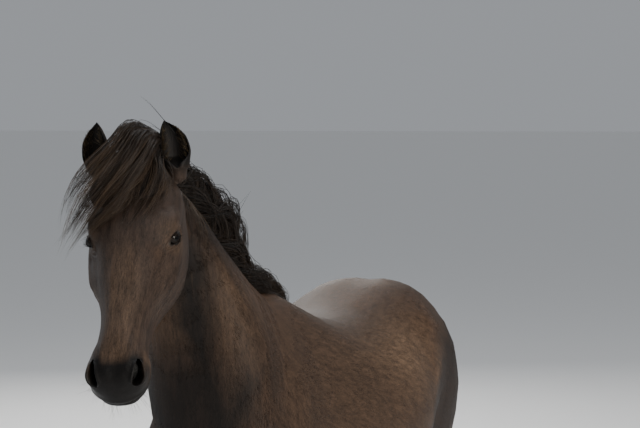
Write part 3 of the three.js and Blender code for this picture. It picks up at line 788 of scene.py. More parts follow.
@dataclass(frozen=True)
class Nostril:
    """A comma-shaped nostril on the head's axes, from its slim upper end to its round lower end."""

    upper: tuple = (46.0, 492.0, 35.0)
    lower: tuple = (42.0, 534.0, 4.0)
    outer: tuple = (56.0, 508.0, 19.0)
    half: float = 11.0
    depth: float = 26.0
    inward: tuple = (-0.42, -0.80, -0.42)

    def axes(self) -> tuple[Array, Array, Array]:
        """Returns the nostril's middle and its directions down and out to the side."""
        upper, lower, outer = (np.array(p) for p in (self.upper, self.lower, self.outer))
        middle, down = (upper + lower) / 2, unit(lower - upper)
        across = outer - middle
        return middle, down, unit(across - down * (across @ down))

    def dark(self, head: Array) -> Array:
        """Returns how far inside a nostril each point of the skin is, from 0 to 1."""
        middle, down, across = self.axes()
        inward = unit(np.array(self.inward))
        away = folded(head) - middle
        deep = away @ inward
        away = away - deep[:, None] * inward
        near = (1 - ease(20, 27, np.abs(away @ down))) * (1 - ease(9, 14, np.abs(away @ across)))
        return ease(3, 9, deep) * near * (deep < 45)

    def carve(self, head: Array, side: Side) -> Array:
        """Sinks one nostril and raises its rim and its wing.

        Args:
            head: the skin's points on the head's axes.
            side: which nostril.

        Returns:
            The moved points.
        """
        mirrored = head * side.flip
        middle, down, across = self.axes()
        away = mirrored - middle
        run, wide = away @ down, away @ across
        span = np.linalg.norm(np.array(self.lower) - np.array(self.upper)) / 2
        place = run / span
        bend = 5.5 * (1 - place**2) - 3 + 3.5 * np.clip(-place, 0, 1.3) ** 2
        closing = np.sqrt(np.clip(1 - np.abs(place) ** 2.6, 0, 1))
        width = self.half * np.clip(0.82 + 0.24 * place, 0.3, 1) * closing
        facing = away @ np.cross(down, across)
        near = (np.abs(place) < 1.7) & (np.abs(wide) < 34) & (mirrored[:, 0] > 6) & (np.abs(facing) < 30)
        off = np.abs(wide - bend) / np.maximum(width, 0.8)
        past = np.maximum(0, np.abs(place) - 1) * 2.4
        reach = np.where(width > 0.8, off, 4.0) + past
        sink = self.depth * (1 - ease(0.55, 1.05, reach))
        rim = 2.6 * bell((reach, 1.45, 0.42)) * (np.abs(place) < 1.35)
        wing = 3.2 * bell((wide - bend, 13, 7), (place, 0, 0.8))
        push = np.where(near, sink - rim - wing, 0)
        return head + unit(np.array(self.inward)) * side.flip * push[:, None]


@dataclass(frozen=True)
class Mouth:
    """The line between the lips, from its corners round the front, on the head's axes."""

    corner: float = 446.0
    level: float = -33.0
    depth: float = 5.0

    def carve(self, head: Array, normals: Array) -> Array:
        """Sinks the line of the lips and rounds the lips.

        Args:
            head: the skin's points on the head's axes.
            normals: the directions that it faces, on the same axes.

        Returns:
            The moved points.
        """
        _, along, rise = head.T
        line = self.level - 0.06 * (along - 500)
        away = rise - line
        along_it = ease(self.corner - 6, self.corner + 14, along)
        groove = self.depth * bell((away, 0, 2.4))
        lips = 2.2 * bell((away, 9, 6)) + 1.4 * bell((away, -9, 6))
        corner = 2.0 * np.exp(-((along - self.corner + 4) ** 2 / 60) - (away / 12) ** 2)
        return head + normals * ((lips - groove) * along_it - corner)[:, None]


# Side, along, rise, their radii, and the lift: brow, crests, nose bones, veins, jaw and chin.
FACE_FORMS = (
    (84, 160, 68, 16, 26, 8, 3.5), (64, 122, 82, 15, 18, 12, -4.5), (66, 300, 38, 12, 46, 12, -2.6),
    (46, 518, -46, 18, 36, 24, -6.5), (0, 500, 44, 16, 40, 12, -2.0), (60, 520, -12, 12, 26, 16, -2.5),
    (88, 228, 28, 12, 18, 8, -2.6), (92, 200, 2, 12, 30, 7, 2.4), (30, 190, 96, 14, 60, 10, 1.6),
    (84, 262, 0, 14, 34, 5, 2.6), (77, 290, -8, 10, 26, 5, 2.6), (24, 300, 76, 8, 120, 10, 2.0),
    (0, 300, 80, 12, 130, 12, -1.6), (60, 322, -26, 9, 26, 4, 1.8), (56, 352, -8, 9, 22, 4, 1.5),
    (52, 384, 8, 9, 24, 4, 1.2), (88, 210, -96, 14, 40, 12, 4.0), (80, 120, -92, 16, 40, 16, 4.0),
    (46, 468, 30, 12, 20, 10, 2.5), (34, 505, -58, 12, 22, 8, 2.0), (96, 140, 56, 10, 22, 7, 2.0),
    (30, 470, 44, 8, 26, 8, 2.0), (60, 130, 92, 14, 26, 10, 3.0), (90, 300, -60, 16, 30, 30, -3.0))
# Side, y, height, their radii, and the lift: knees, hocks, elbows, stifles, thighs, shoulders and flanks.
BODY_FORMS = (
    (128, -470, 440, 30, 16, 26, 4), (100, -430, 428, 12, 22, 22, 3), (156, -430, 428, 12, 22, 22, 3),
    (128, -390, 405, 14, 10, 14, 4), (131, 700, 575, 16, 14, 26, 4), (104, 640, 545, 10, 26, 30, 3),
    (158, 640, 545, 10, 26, 30, 3), (175, -380, 800, 36, 30, 34, 6), (168, 330, 870, 40, 44, 50, 8),
    (225, -530, 1060, 26, 50, 90, 5), (215, -470, 1010, 20, 18, 120, -5), (150, -340, 1250, 40, 26, 90, -4),
    (230, 470, 1120, 30, 40, 120, -5), (150, 560, 1130, 40, 30, 120, 4), (120, -600, 1010, 40, 24, 60, 5),
    (215, 258, 1230, 44, 44, 32, -7), (262, 190, 1000, 24, 22, 50, 4), (235, 330, 1090, 24, 26, 50, 4))


@dataclass
class Skin:
    """The one skin over the flesh, with the lids, nostrils, lips and ears in it."""

    voxel: float = 4.2
    ear_voxel: float = 1.6
    passes: int = 34
    faces: int = 186_000
    # Where the face starts and the muzzle starts along the head, and how far round an eye is fine.
    face: float = 60.0
    muzzle: float = 452.0
    round_eye: float = 46.0
    eye: EyeOpening = EyeOpening()
    nostril: Nostril = Nostril()
    mouth: Mouth = Mouth()

    def build(self) -> Object:
        """Returns the finished skin, from the forms of the body to its last fold."""
        body = self.united()
        self.rounded(body.data)
        self.refine(body)
        self.carve(body.data)
        self.add_ears(body)
        self.sink(body.data)
        return self.thinned(body)

    def united(self) -> Object:
        """Returns the trunk, neck, head and legs as one closed form of even squares."""
        forms = ((150, 110, Trunk().ring), (90, 90, NECK.ring), (170, 120, Skull().ring),
                 *((150, 48, leg.ring) for leg in LEGS.values()))
        return evened(new_piece("skin", joined("skin", (loft(*form) for form in forms))), self.voxel)

    def rounded(self, mesh: Mesh) -> None:
        """Softens the joins of the forms, most on the body and least on the muzzle, and adds the muscles."""
        points = points_of(mesh)
        head = HEAD.into(points)
        weight = np.full(len(points), 0.6)
        weight[points[:, 2] < 640] = 0.25
        weight = mix(weight, 0.1, ease(-10, 70, head[:, 1]) * ease(-170, -135, head[:, 2]))
        points = eased(points, edges_of(mesh), weight, self.passes)
        set_points(mesh, points)
        lift = swelling(BODY_FORMS, points)
        set_points(mesh, points + normals_of(mesh) * lift[:, None])

    def refine(self, body: Object) -> None:
        """Splits the faces of the front of the head once, and those round its openings twice."""
        for level in range(2):
            form = bmesh.new()
            form.from_mesh(body.data)
            points = points_of(body.data)
            head = HEAD.into(points)
            fine = (head[:, 1] > self.face) & (-points[:, 1] > 860)
            if level:
                near_eye = np.linalg.norm(folded(head) - EYE_PLACE, axis=1) < self.round_eye
                fine &= near_eye | (head[:, 1] > self.muzzle)
            form.edges.ensure_lookup_table()
            chosen = [e for e in form.edges if fine[e.verts[0].index] and fine[e.verts[1].index]]
            bmesh.ops.subdivide_edges(form, edges=chosen, cuts=1, use_grid_fill=True, smooth=0.0)
            form.to_mesh(body.data)
            form.free()
            body.data.update()

    def carve(self, mesh: Mesh) -> None:
        """Models the bones, lids, nostrils and lips of the head."""
        points, edges = points_of(mesh), edges_of(mesh)
        ahead = -points[:, 1] > 800
        points = eased(points, edges, 0.5 * ahead, 4)
        set_points(mesh, points)
        head, normals = HEAD.into(points), turned(normals_of(mesh), -HEAD_YAW)
        c = math.sqrt(0.5)
        facing = np.stack([normals[:, 0], -(normals[:, 1] + normals[:, 2]) * c,
                           (normals[:, 2] - normals[:, 1]) * c], axis=1)
        front = ahead & (head[:, 1] > 30)
        head = head + facing * (swelling(FACE_FORMS, head) * front)[:, None]
        head = self.mouth.carve(head, facing * (head[:, 1] > 400)[:, None])
        for side in Side:
            head = self.nostril.carve(head, side)
            head = self.eye.carve(head, side)
        points[front] = HEAD.out(head)[front]
        set_points(mesh, eased(points, edges, 0.35 * front, 1))

    def add_ears(self, body: Object) -> None:
        """Joins the two ears to the head."""
        for name, ear in EARS.items():
            other = evened(new_piece(name + "_form", loft(110, 90, ear.ring)), self.ear_voxel)
            points = points_of(other.data)
            set_points(other.data, eased(points, edges_of(other.data), np.full(len(points), 0.4), 3))
            joining = body.modifiers.new(name, "BOOLEAN")
            joining.operation = "UNION"
            joining.solver = "MANIFOLD"
            joining.object = other
            finished(body)
            bpy.data.objects.remove(other)

    def sink(self, mesh: Mesh) -> None:
        """Draws the skin in by the depth of the coat."""
        points = points_of(mesh)
        set_points(mesh, points - normals_of(mesh) * coat_depth(points)[:, None])

    def thinned(self, body: Object) -> Object:
        """Returns the skin with fewer faces where it is plain, and all of them on the face."""
        points = points_of(body.data)
        head = HEAD.into(points)
        keep = 0.75 * ease(120, 160, head[:, 1]) * (-points[:, 1] > 860)
        keep = np.where(np.linalg.norm(folded(head) - EYE_PLACE, axis=1) < 50, 1.0, keep)
        keep = np.where(regions_of(points) == Region.EAR, 0.3, keep)
        group = body.vertex_groups.new(name="plain")
        for value in np.unique(np.round(keep, 1)):
            chosen = np.nonzero(np.round(keep, 1) == value)[0]
            group.add(chosen.tolist(), float(1 - 0.9 * value), "REPLACE")
        body.data.calc_loop_triangles()
        thin = body.modifiers.new("thin", "DECIMATE")
        thin.ratio = min(1.0, self.faces / len(body.data.loop_triangles))
        thin.vertex_group = "plain"
        thin.vertex_group_factor = 1.0
        finished(body)
        body.vertex_groups.clear()
        body.data.shade_smooth()
        return body


def eased(points: Array, edges: Array, weight: Array, passes: int) -> Array:
    """Returns points drawn towards their neighbours.

    Args:
        points: the points.
        edges: the pairs of neighbours.
        weight: how far each point goes at each pass, from 0 to 1.
        passes: how often all of them move.

    Returns:
        The moved points.
    """
    a, b = edges.T
    count = len(points)
    degree = np.maximum(np.bincount(a, minlength=count) + np.bincount(b, minlength=count), 1)
    for _ in range(passes):
        total = np.stack([np.bincount(a, points[b, k], count) + np.bincount(b, points[a, k], count)
                          for k in range(3)], axis=1)
        points = points + weight[:, None] * (total / degree[:, None] - points)
    return points


# The coat: its depth, length, lie and colours

def bare_skin(points: Array) -> Array:
    """Returns how bare the skin is at each point: 1 on the muzzle and round the eyes, 0 in the coat."""
    head = HEAD.into(points)
    edge = 474 + 26 * ease(10, 50, head[:, 2]) * (1 - 0.6 * ease(16, 44, np.abs(head[:, 0])))
    edge = edge + 14 * (noise(points, 26, 3) - 0.5)
    muzzle = ease(-16, 16, head[:, 1] - edge) * (-points[:, 1] > 900)
    eye = EyeOpening()
    lids = np.zeros(len(points))
    for side in Side:
        out, run, high = eye.local(head, side)
        reach = np.hypot(run / eye.length, high / np.where(high > 0, eye.above, eye.under))
        lids = np.maximum(lids, (1 - ease(1.12, 1.5, reach)) * (out > -10))
    return np.maximum(muzzle, 0.75 * lids)


def coat_depth(points: Array) -> Array:
    """Returns how deep the coat is at each point."""
    region = regions_of(points)
    joined = on_head(points) * ease(-20, 90, HEAD.into(points)[:, 1])
    depth = mix(mix(3.0, 4.8, ease(640, 940, points[:, 2])), 1.8, joined)
    return np.where(region == Region.EAR, 0.6, depth) * (1 - 0.8 * bare_skin(points))


def laid(colour: Array, tint: tuple, share: Array, strength: float = 1.0) -> None:
    """Lays a tint, at a strength, over colours by a share for each."""
    colour[:] = mix(colour, np.array(tint) * strength, np.clip(share, 0, 1)[:, None])


@dataclass(frozen=True)
class CoatColours:
    """The coat's colours, as linear light, and where each shows, with painted shade and painted highlights
    among them.
    """

    body: tuple = (0.0410, 0.0245, 0.0155)
    face: tuple = (0.0325, 0.0214, 0.0156)
    rust: tuple = (0.0720, 0.0370, 0.0190)
    # shade is laid both for dark tones of the coat and as painted shade
    shade: tuple = (0.0105, 0.0070, 0.0053)
    muzzle: tuple = (0.0040, 0.0033, 0.0030)
    tan: tuple = (0.090, 0.056, 0.034)

    def at(self, points: Array) -> Array:
        """Returns the colour at each point."""
        colour = np.tile(np.array(self.body), (len(points), 1))
        head = HEAD.into(points)
        self.mottle_and_painted_shade(colour, points)
        self.mark_body_and_painted_light(colour, points)
        self.mark_face_and_nostril_shade(colour, points, head)
        for ear in EARS.values():
            tall, reach, turn = ear.local(points)
            on_ear = ease(4, 30, tall) * (reach < 1.3)
            laid(colour, self.shade, 0.75 * on_ear)
            inside = np.maximum(1 - ease(0.84, 0.96, reach), 1 - ease(ear.mouth + 0.1, ear.mouth + 0.5, turn))
            laid(colour, self.muzzle, 0.92 * on_ear * inside, 0.7)
        return colour

    def mottle_and_painted_shade(self, colour: Array, points: Array) -> None:
        """Lays on the soft mottling, the dark of the lower legs, and painted shade on the front of the neck
        and the chest, with the sides of the neck left lighter.
        """
        aside, y, z = np.abs(points[:, 0]), points[:, 1], points[:, 2]
        wide = noise(points * np.array([1, 1, 0.6]), 170, 5)
        streak = noise(points * np.array([1, 0.8, 0.35]), 34, 6)
        spots = noise(points * np.array([1, 1, 0.45]), 60, 7)
        laid(colour, self.rust, 0.6 * ease(0.4, 0.85, 0.75 * wide + 0.25 * streak))
        laid(colour, self.shade, 0.4 * ease(0.5, 0.9, 0.5 * spots + 0.5 * streak))
        laid(colour, self.shade, 0.85 * (1 - ease(300, 760, z)))
        # painted shade: the front of the neck and the chest are darkened towards near black, less on the
        # neck's sides
        front = y + 930 - 0.3 * (z - 1000) + 90 * (streak - 0.5)
        flat = 1 - 0.9 * ease(0, 70, aside) * ease(1150, 1300, z)
        laid(colour, self.shade, 0.94 * flat * (1 - ease(170, 340, front)) * ease(700, 860, z))
        laid(colour, self.muzzle, 0.85 * flat * (1 - ease(170, 320, front)) * ease(700, 860, z))

    def mark_body_and_painted_light(self, colour: Array, points: Array) -> None:
        """Lays on the tan of the flank, barrel and neck, that of the flank and neck partly a painted
        highlight, and painted shade on the thigh behind a painted highlight along its fold.
        """
        aside, y, z = np.abs(points[:, 0]), points[:, 1], points[:, 2]
        # the flank's tan patch: partly its rusty colour, partly a painted highlight
        laid(colour, self.tan, 0.75 * bell((aside, 225, 90), (y, 130, 150), (z, 1165, 100)), 1.35)
        laid(colour, self.tan, 0.22 * ease(60, 150, aside) * bell((y, 0, 380), (z, 1120, 190)))
        # the tan on the neck's sides: partly its reddish colour, partly painted light on the side that faces
        # the light
        laid(colour, self.tan, 0.4 * bell((aside, 85, 40), (y, -700, 90), (z, 1400, 110)))
        fold = (y - 205 - 1.2 * (z - 990)) / 1.56
        thigh = ease(760, 880, z) * (1 - ease(1150, 1250, z)) * (aside > 60)
        # painted shade on the thigh, which turns away from the light
        laid(colour, self.shade, 0.75 * thigh * ease(-5, 35, fold))
        # painted highlight: a pale rim of light along the fold
        laid(colour, self.tan, 0.6 * thigh * bell((fold, -4, 10)))

    def mark_face_and_nostril_shade(self, colour: Array, points: Array, head: Array) -> None:
        """Lays on the face's own colour, the tan of its bridge and round its eyes, the black of its bare
        skin, and painted shade inside its nostrils.
        """
        face = on_head(points) * ease(-130, -60, head[:, 2])
        aside = np.abs(head[:, 0])
        laid(colour, self.face, 0.9 * face)
        laid(colour, self.shade, face * 0.3 * ease(0.5, 0.9, noise(head, 46, 8)))
        laid(colour, self.rust, face * 0.2 * ease(0.6, 0.9, noise(head, 60, 9)))
        from_eye = np.linalg.norm(folded(head) - EYE_PLACE, axis=1)
        laid(colour, self.tan, 0.22 * bell((from_eye, 30, 9)))
        laid(colour, self.tan, 0.32 * face * (1 - ease(14, 46, aside)) * ease(200, 300, head[:, 1]))
        laid(colour, self.muzzle, bare_skin(points))
        laid(colour, self.tan, 0.5 * bell((aside, 60, 8), (head[:, 1], 470, 34)) * (head[:, 2] > -20))
        # painted shade: the nostrils darken to near black with their depth
        laid(colour, self.muzzle, Nostril().dark(head), 0.3)


COLOURS = CoatColours()


def lie_of(points: Array) -> Array:
    """Returns how far the coat lies along the trunk, down, and along the head, as three shares."""
    face, y = on_head(points), points[:, 1]
    trunk = ease(640, 760, points[:, 2]) * (1 - ease(350, 480, -y)) * (1 - ease(420, 640, y))
    return np.stack([trunk * (1 - face), (1 - trunk) * (1 - face), face], axis=1)


def flow_of(points: Array) -> Array:
    """Returns the direction in which the hair lies at each point, before it is laid on the skin."""
    region, head = regions_of(points), HEAD.into(points)
    flow = np.tile(np.array([0.0, 1.0, -0.35]), (len(points), 1))
    rump = ease(350, 700, points[:, 1])
    flow[:, 2] -= 1.6 * rump
    chest = ease(420, 640, -points[:, 1])
    flow = mix(flow, np.array([0.0, 0.25, -1.0]), chest[:, None])
    neck = ease(-90, 90, leaning(points)) * ease(960, 1120, points[:, 2])
    f = NECK.frame(NECK.place_of(points))
    flow = mix(unit(flow), unit(f.down * 0.75 + np.array([0, 0.8, 0.1])), neck[:, None])
    tip = HEAD.out(head + np.array([0, 10.0, 0])) - points
    back = HEAD.out(head + np.array([0, -6.0, -9.0])) - points
    nose = ease(-20, 20, head[:, 2]) * ease(120, 190, head[:, 1])
    flow = mix(flow, unit(mix(back, tip, nose[:, None])), on_head(points)[:, None])
    down = np.array([0.0, 0.15, -1.0])
    flow = np.where(np.isin(region, (Region.FORELEG, Region.HINDLEG))[:, None], down, flow)
    flow = np.where((region == Region.EAR)[:, None], np.array([0.0, 0.1, 1.0]), flow)
    wander = np.stack([noise(points, 110, 11 + k) - 0.5 for k in range(3)], axis=1)
    return unit(flow) + 0.35 * wander


ATLAS = {
    # Where each region lies on the coat's own map: left, bottom, width, height.
    Region.TRUNK: (0.01, 0.01, 0.58, 0.50), Region.NECK: (0.01, 0.53, 0.34, 0.32),
    Region.HEAD: (0.37, 0.53, 0.34, 0.45), Region.FORELEG: (0.61, 0.01, 0.18, 0.50),
    Region.HINDLEG: (0.81, 0.01, 0.18, 0.50), Region.EAR: (0.73, 0.53, 0.25, 0.20)}


def unwrap(points: Array) -> Array:
    """Returns places on the coat's map, where each part of the body is unrolled round itself.

    Args:
        points: places on the skin.

    Returns:
        Two numbers from 0 to 1 for each.
    """
    head, along = HEAD.into(points), NECK.place_of(points)
    x, y, z = points.T
    neck = NECK.frame(along)
    off = points - neck.middle
    from_leg = np.arctan2(y - np.where(y < 0, -440, 640), np.abs(x) - 128)
    leg = (np.sign(x) * (np.pi / 2 + from_leg / 2), z / 1000)
    unrolled = {
        Region.TRUNK: (np.arctan2(x, z - 1000), (y + 700) / 1440),
        Region.NECK: (np.arctan2((off * neck.left).sum(1), -(off * neck.down).sum(1)), along),
        Region.HEAD: (np.arctan2(head[:, 0], head[:, 2]), head[:, 1] / 560),
        Region.FORELEG: leg,
        Region.HINDLEG: leg,
        Region.EAR: (np.sign(x + 80) * (0.2 + (y % 60) / 80), (z - 1640) / 170)}
    region = regions_of(points)
    turn, run = (np.choose(region, [unrolled[part][k] for part in Region]) for k in range(2))
    left, bottom, width, height = (np.array([ATLAS[part][k] for part in Region])[region] for k in range(4))
    across = left + width * np.clip(turn / (2 * np.pi) + 0.5, 0, 1)
    return np.stack([across, bottom + height * np.clip(run, 0, 1)], axis=1)


# Hair, tufts and locks as solid strands

PATCH = 0.003


@dataclass
class Strands:
    """Tapered three-sided strands along centre lines, all in one mesh.

    Attributes:
        lines: centre lines, as strand, place along it, and point.
        facing: the direction that each strand's broad side faces.
        width: each strand's half width at its widest.
        flat: how thick a strand is for its width.
        taper: the share of the width at each place along a strand.
        roots: each strand's place on the coat's map.
        colours: the colour at each place along each strand.
    """

    lines: Array
    facing: Array
    width: Array
    flat: float
    taper: Array
    roots: Array
    colours: Array

    def mesh(self, name: str) -> Mesh:
        """Returns the strands as one mesh, with their colours and their map."""
        count, steps, _ = self.lines.shape
        run = unit(np.gradient(self.lines, axis=1))
        facing = self.facing[:, None, :] if self.facing.ndim == 2 else self.facing
        side = unit(np.cross(run, facing))
        out = np.cross(side, run)
        wide = (self.width[:, None] * self.taper[None, :])[..., None]
        rings = np.stack([self.lines + side * wide, self.lines - side * wide,
                          self.lines + out * wide * self.flat], axis=2)[:, :-1]
        per = 3 * (steps - 1) + 1
        points = np.concatenate([rings.reshape(count, -1, 3), self.lines[:, -1:]], axis=1).reshape(-1, 3)
        faces = [(0, 1, 2)]
        for j in range(steps - 2):
            for k in range(3):
                a, b = 3 * j + k, 3 * j + (k + 1) % 3
                faces += [(a, a + 3, b), (b, a + 3, b + 3)]
        last = 3 * (steps - 2)
        faces += [(last + k, per - 1, last + (k + 1) % 3) for k in range(3)]
        pattern = np.array(faces)
        triangles = (pattern[None] + (np.arange(count) * per)[:, None, None]).reshape(-1, 3)
        mesh = array_mesh(name, points, triangles)
        shades = np.concatenate([np.repeat(self.colours[:, :-1], 3, axis=1), self.colours[:, -1:]], axis=1)
        paint(mesh, "coat", shades.reshape(-1, 3))
        across = np.concatenate([np.tile([0.0, 1.0, 0.5], steps - 1), [0.5]])
        along = np.concatenate([np.repeat(np.arange(steps - 1), 3), [steps - 1]]) / (steps - 1)
        place = self.roots[:, None, :] + PATCH * np.stack([across, along], axis=1)[None]
        layer = mesh.uv_layers.new(name="OFBake")
        layer.data.foreach_set("uv", place.reshape(-1, 2)[triangles.ravel()].astype(np.float32).ravel())
        return mesh

@dataclass
class SkinField:
    """The finished skin, as something to grow hair on and to keep hair out of."""

    mesh: Mesh

    def __post_init__(self) -> None:
        """Reads the skin's triangles, their areas and their points' directions."""
        self.points, self.normals = points_of(self.mesh), normals_of(self.mesh)
        self.mesh.calc_loop_triangles()
        self.triangles = read(self.mesh.loop_triangles, "vertices", 3, np.int32)
        a, b, c = (self.points[self.triangles[:, k]] for k in range(3))
        self.area = np.linalg.norm(np.cross(b - a, c - a), axis=1) / 2
        self.centres = (a + b + c) / 3
        self.colours = COLOURS.at(self.points)
        kept = self.triangles[regions_of(self.centres) != Region.EAR]
        self.tree = BVHTree.FromPolygons(self.points.tolist(), kept.tolist())

    def scatter(self, weight: Array, count: int, random: np.random.Generator) -> tuple[Array, Array, Array]:
        """Picks places on the skin at random.

        Args:
            weight: how thickly they lie on each triangle.
            count: how many there are.
            random: where the random numbers come from.

        Returns:
            The places, the way that the skin faces there, and its colour.
        """
        chance = np.cumsum(self.area * weight)
        pick = np.searchsorted(chance, random.random(count) * chance[-1])
        u, v = random.random(count), random.random(count)
        over = u + v > 1
        u, v = np.where(over, 1 - u, u), np.where(over, 1 - v, v)
        share = np.stack([1 - u - v, u, v], axis=1)[..., None]
        corners = self.triangles[pick]
        return tuple((rows[corners] * share).sum(1) for rows in (self.points, self.normals, self.colours))

    def lifted(self, lines: Array, clear: float) -> Array:
        """Moves hair lines out of the skin past their roots.

        Args:
            lines: the centre lines.
            clear: how far above the skin they stay.

        Returns:
            The moved lines.
        """
        moved = lines.copy()
        for i in range(len(lines)):
            for j in range(2, lines.shape[1]):
                spot = Vector(moved[i, j])
                found, normal, _, _ = self.tree.find_nearest(spot, 60)
                if found is not None:
                    high = (spot - found).dot(normal)
                    if high < clear:
                        moved[i, j] += np.array(normal) * (clear - high)
        return moved


def waves(lines: Array, reach: Array, turns: Array, phase: Array) -> Array:
    """Returns hair lines with waves that grow towards their tips.

    Args:
        lines: the centre lines.
        reach: how far each wave swings at the tip.
        turns: how many waves each line has.
        phase: where each line's waves start, as two columns in radians.

    Returns:
        The waved lines.
    """
    share = np.linspace(0, 1, lines.shape[1])
    run = unit(np.gradient(lines, axis=1))
    side = unit(np.cross(run, np.array([0.3, 0.2, 1.0])))
    over = np.cross(side, run)
    swing = (share**1.3)[None, :] * reach[:, None]
    turn = 2 * np.pi * turns[:, None] * share[None, :]
    return (lines + side * (swing * np.sin(turn + phase[:, :1]))[..., None]
            + over * (swing * np.cos(1.17 * turn + phase[:, 1:]))[..., None])


@dataclass
class LongHair:
    """Long hair in locks: many strands that share a guide line and draw together towards its tip.

    Attributes:
        name: the piece's name.
        node: the CAD node that it stands for.
        locks: how many locks it has, of per_lock strands each.
        seed: where its random numbers start.
        cored: whether the mass under the hair, painted darker than the hair as its shade, is made with it.
        steps: how many points a strand has, from fine_steps before it is smoothed.
        bundle: how far a lock's strands spread.
        turns: the least and the most waves of a lock.
        swing: the least and the most that its tip swings.
    """

    name: str
    node: str
    locks: int
    seed: int
    cored: bool = True
    per_lock: int = 17
    steps: int = 16
    fine_steps: int = 44
    width: float = 0.62
    bundle: float = 10.0
    turns: tuple = (0.6, 1.9)
    swing: tuple = (3.0, 12.0)
    dark: tuple = (0.0125, 0.0098, 0.0085)
    brown: tuple = (0.030, 0.019, 0.012)
    bleached: tuple = (0.105, 0.066, 0.038)

    def guide(self, root: Array, layer: Array, share: Array, fate: Array) -> Array:
        """Returns the lines that the hair follows; each kind of hair has its own.

        Args:
            root: each line's place along the roots, from 0 to 1.
            layer: how deep in the hair it lies, from 0 to 1.
            share: the places along a line.
            fate: four random numbers for each line.

        Returns:
            The lines.
        """
        raise NotImplementedError

    def bleach(self, root: Array, layer: Array, random: np.random.Generator) -> Array:
        """Returns how far the sun has bleached each lock's tip."""
        return 0.35 * random.random(len(root))

    def strands(self, skin: SkinField, clear: float) -> Strands:
        """Returns all the strands.

        Args:
            skin: the skin that they stay out of.
            clear: how far above it they stay.

        Returns:
            The strands, ready to be made a mesh.
        """
        random = np.random.default_rng(self.seed)
        root, layer = random.random(self.locks), random.random(self.locks)
        share = np.linspace(0, 1, self.fine_steps)
        count = self.locks * self.per_lock
        lock = np.repeat(np.arange(self.locks), self.per_lock)
        own_root = root[lock] + random.normal(0, 0.008, count)
        own_layer = layer[lock] + random.normal(0, 0.03, count)
        length = np.where(random.random(count) < 0.85, mix(0.82, 1.0, random.random(count)),
                          mix(0.5, 0.8, random.random(count)))
        fate = random.random((self.locks, 4))
        own_fate = np.clip(fate[lock] + random.normal(0, 0.05, (count, 4)) * np.array([0, 1, 1, 1]), 0, 1)
        guides = self.guide(np.clip(own_root, 0, 1), np.clip(own_layer, 0, 1), share, own_fate)
        shared = self.guide(root, layer, share, fate)[lock]
        together = (0.15 + 0.75 * ease(0.05, 0.8, share))[None, :, None]
        lines = mix(guides, shared, together * mix(0.7, 1, random.random((count, 1, 1))))
        spread = random.normal(0, 1, (count, 3)) * self.bundle * 0.5
        lines = lines + spread[:, None, :] * (1 - 0.6 * ease(0.1, 1.0, share))[None, :, None]
        phase = (random.random((self.locks, 2)) * 2 * np.pi)[lock] + random.normal(0, 0.35, (count, 2))
        turns = mix(*self.turns, random.random(self.locks))[lock]
        reach = mix(*self.swing, random.random(self.locks))[lock] * mix(0.7, 1.3, random.random(count))
        lines = waves(lines, reach, turns, phase)
        lines = skin.lifted(drawn(lines, length, self.steps), clear)
        share = np.linspace(0, 1, self.steps)
        taper = np.interp(share, [0, 0.08, 0.6, 1.0], [0.5, 1.0, 0.85, 0.12])
        width = self.width * mix(0.6, 1.35, random.random(count))
        facing = unit(random.normal(0, 1, (count, 3)))
        tint = random.random(count)[:, None, None]
        base = mix(np.array(self.dark), np.array(self.brown), tint**2.2)
        sun = self.bleach(root, layer, random)[lock] * mix(0.4, 1.2, random.random(count))
        pale = (np.clip(sun, 0, 1)[:, None] * ease(0.25, 1.0, share)[None, :])[..., None]
        colours = mix(base, np.array(self.bleached), pale)
        return Strands(lines, facing, width, 1.2, taper, unwrap(lines[:, 0]), colours)


def drawn(lines: Array, length: Array, steps: int, passes: int = 16) -> Array:
    """Returns smooth lines of evenly spaced points.

    Args:
        lines: finely stepped lines, which may have sharp bends.
        length: the share of each line that is kept, from its root.
        steps: how many points each new line has.
        passes: how often the bends are rounded off.

    Returns:
        The new lines.
    """
    for _ in range(passes):
        inner = 0.25 * lines[:, :-2] + 0.5 * lines[:, 1:-1] + 0.25 * lines[:, 2:]
        lines = np.concatenate([lines[:, :1], inner, lines[:, -1:]], axis=1)
    run = np.cumsum(np.linalg.norm(np.diff(lines, axis=1), axis=2), axis=1)
    run = np.concatenate([np.zeros((len(lines), 1)), run], axis=1)
    place = (np.linspace(0, 1, steps) ** 1.25)[None, :] * (length * run[:, -1])[:, None]
    low = np.clip((run[:, None, :] <= place[:, :, None]).sum(2) - 1, 0, lines.shape[1] - 2)
    row = np.arange(len(lines))[:, None]
    part = ((place - run[row, low]) / np.maximum(run[row, low + 1] - run[row, low], 1e-6))[..., None]
    return lines[row, low] * (1 - part) + lines[row, low + 1] * part


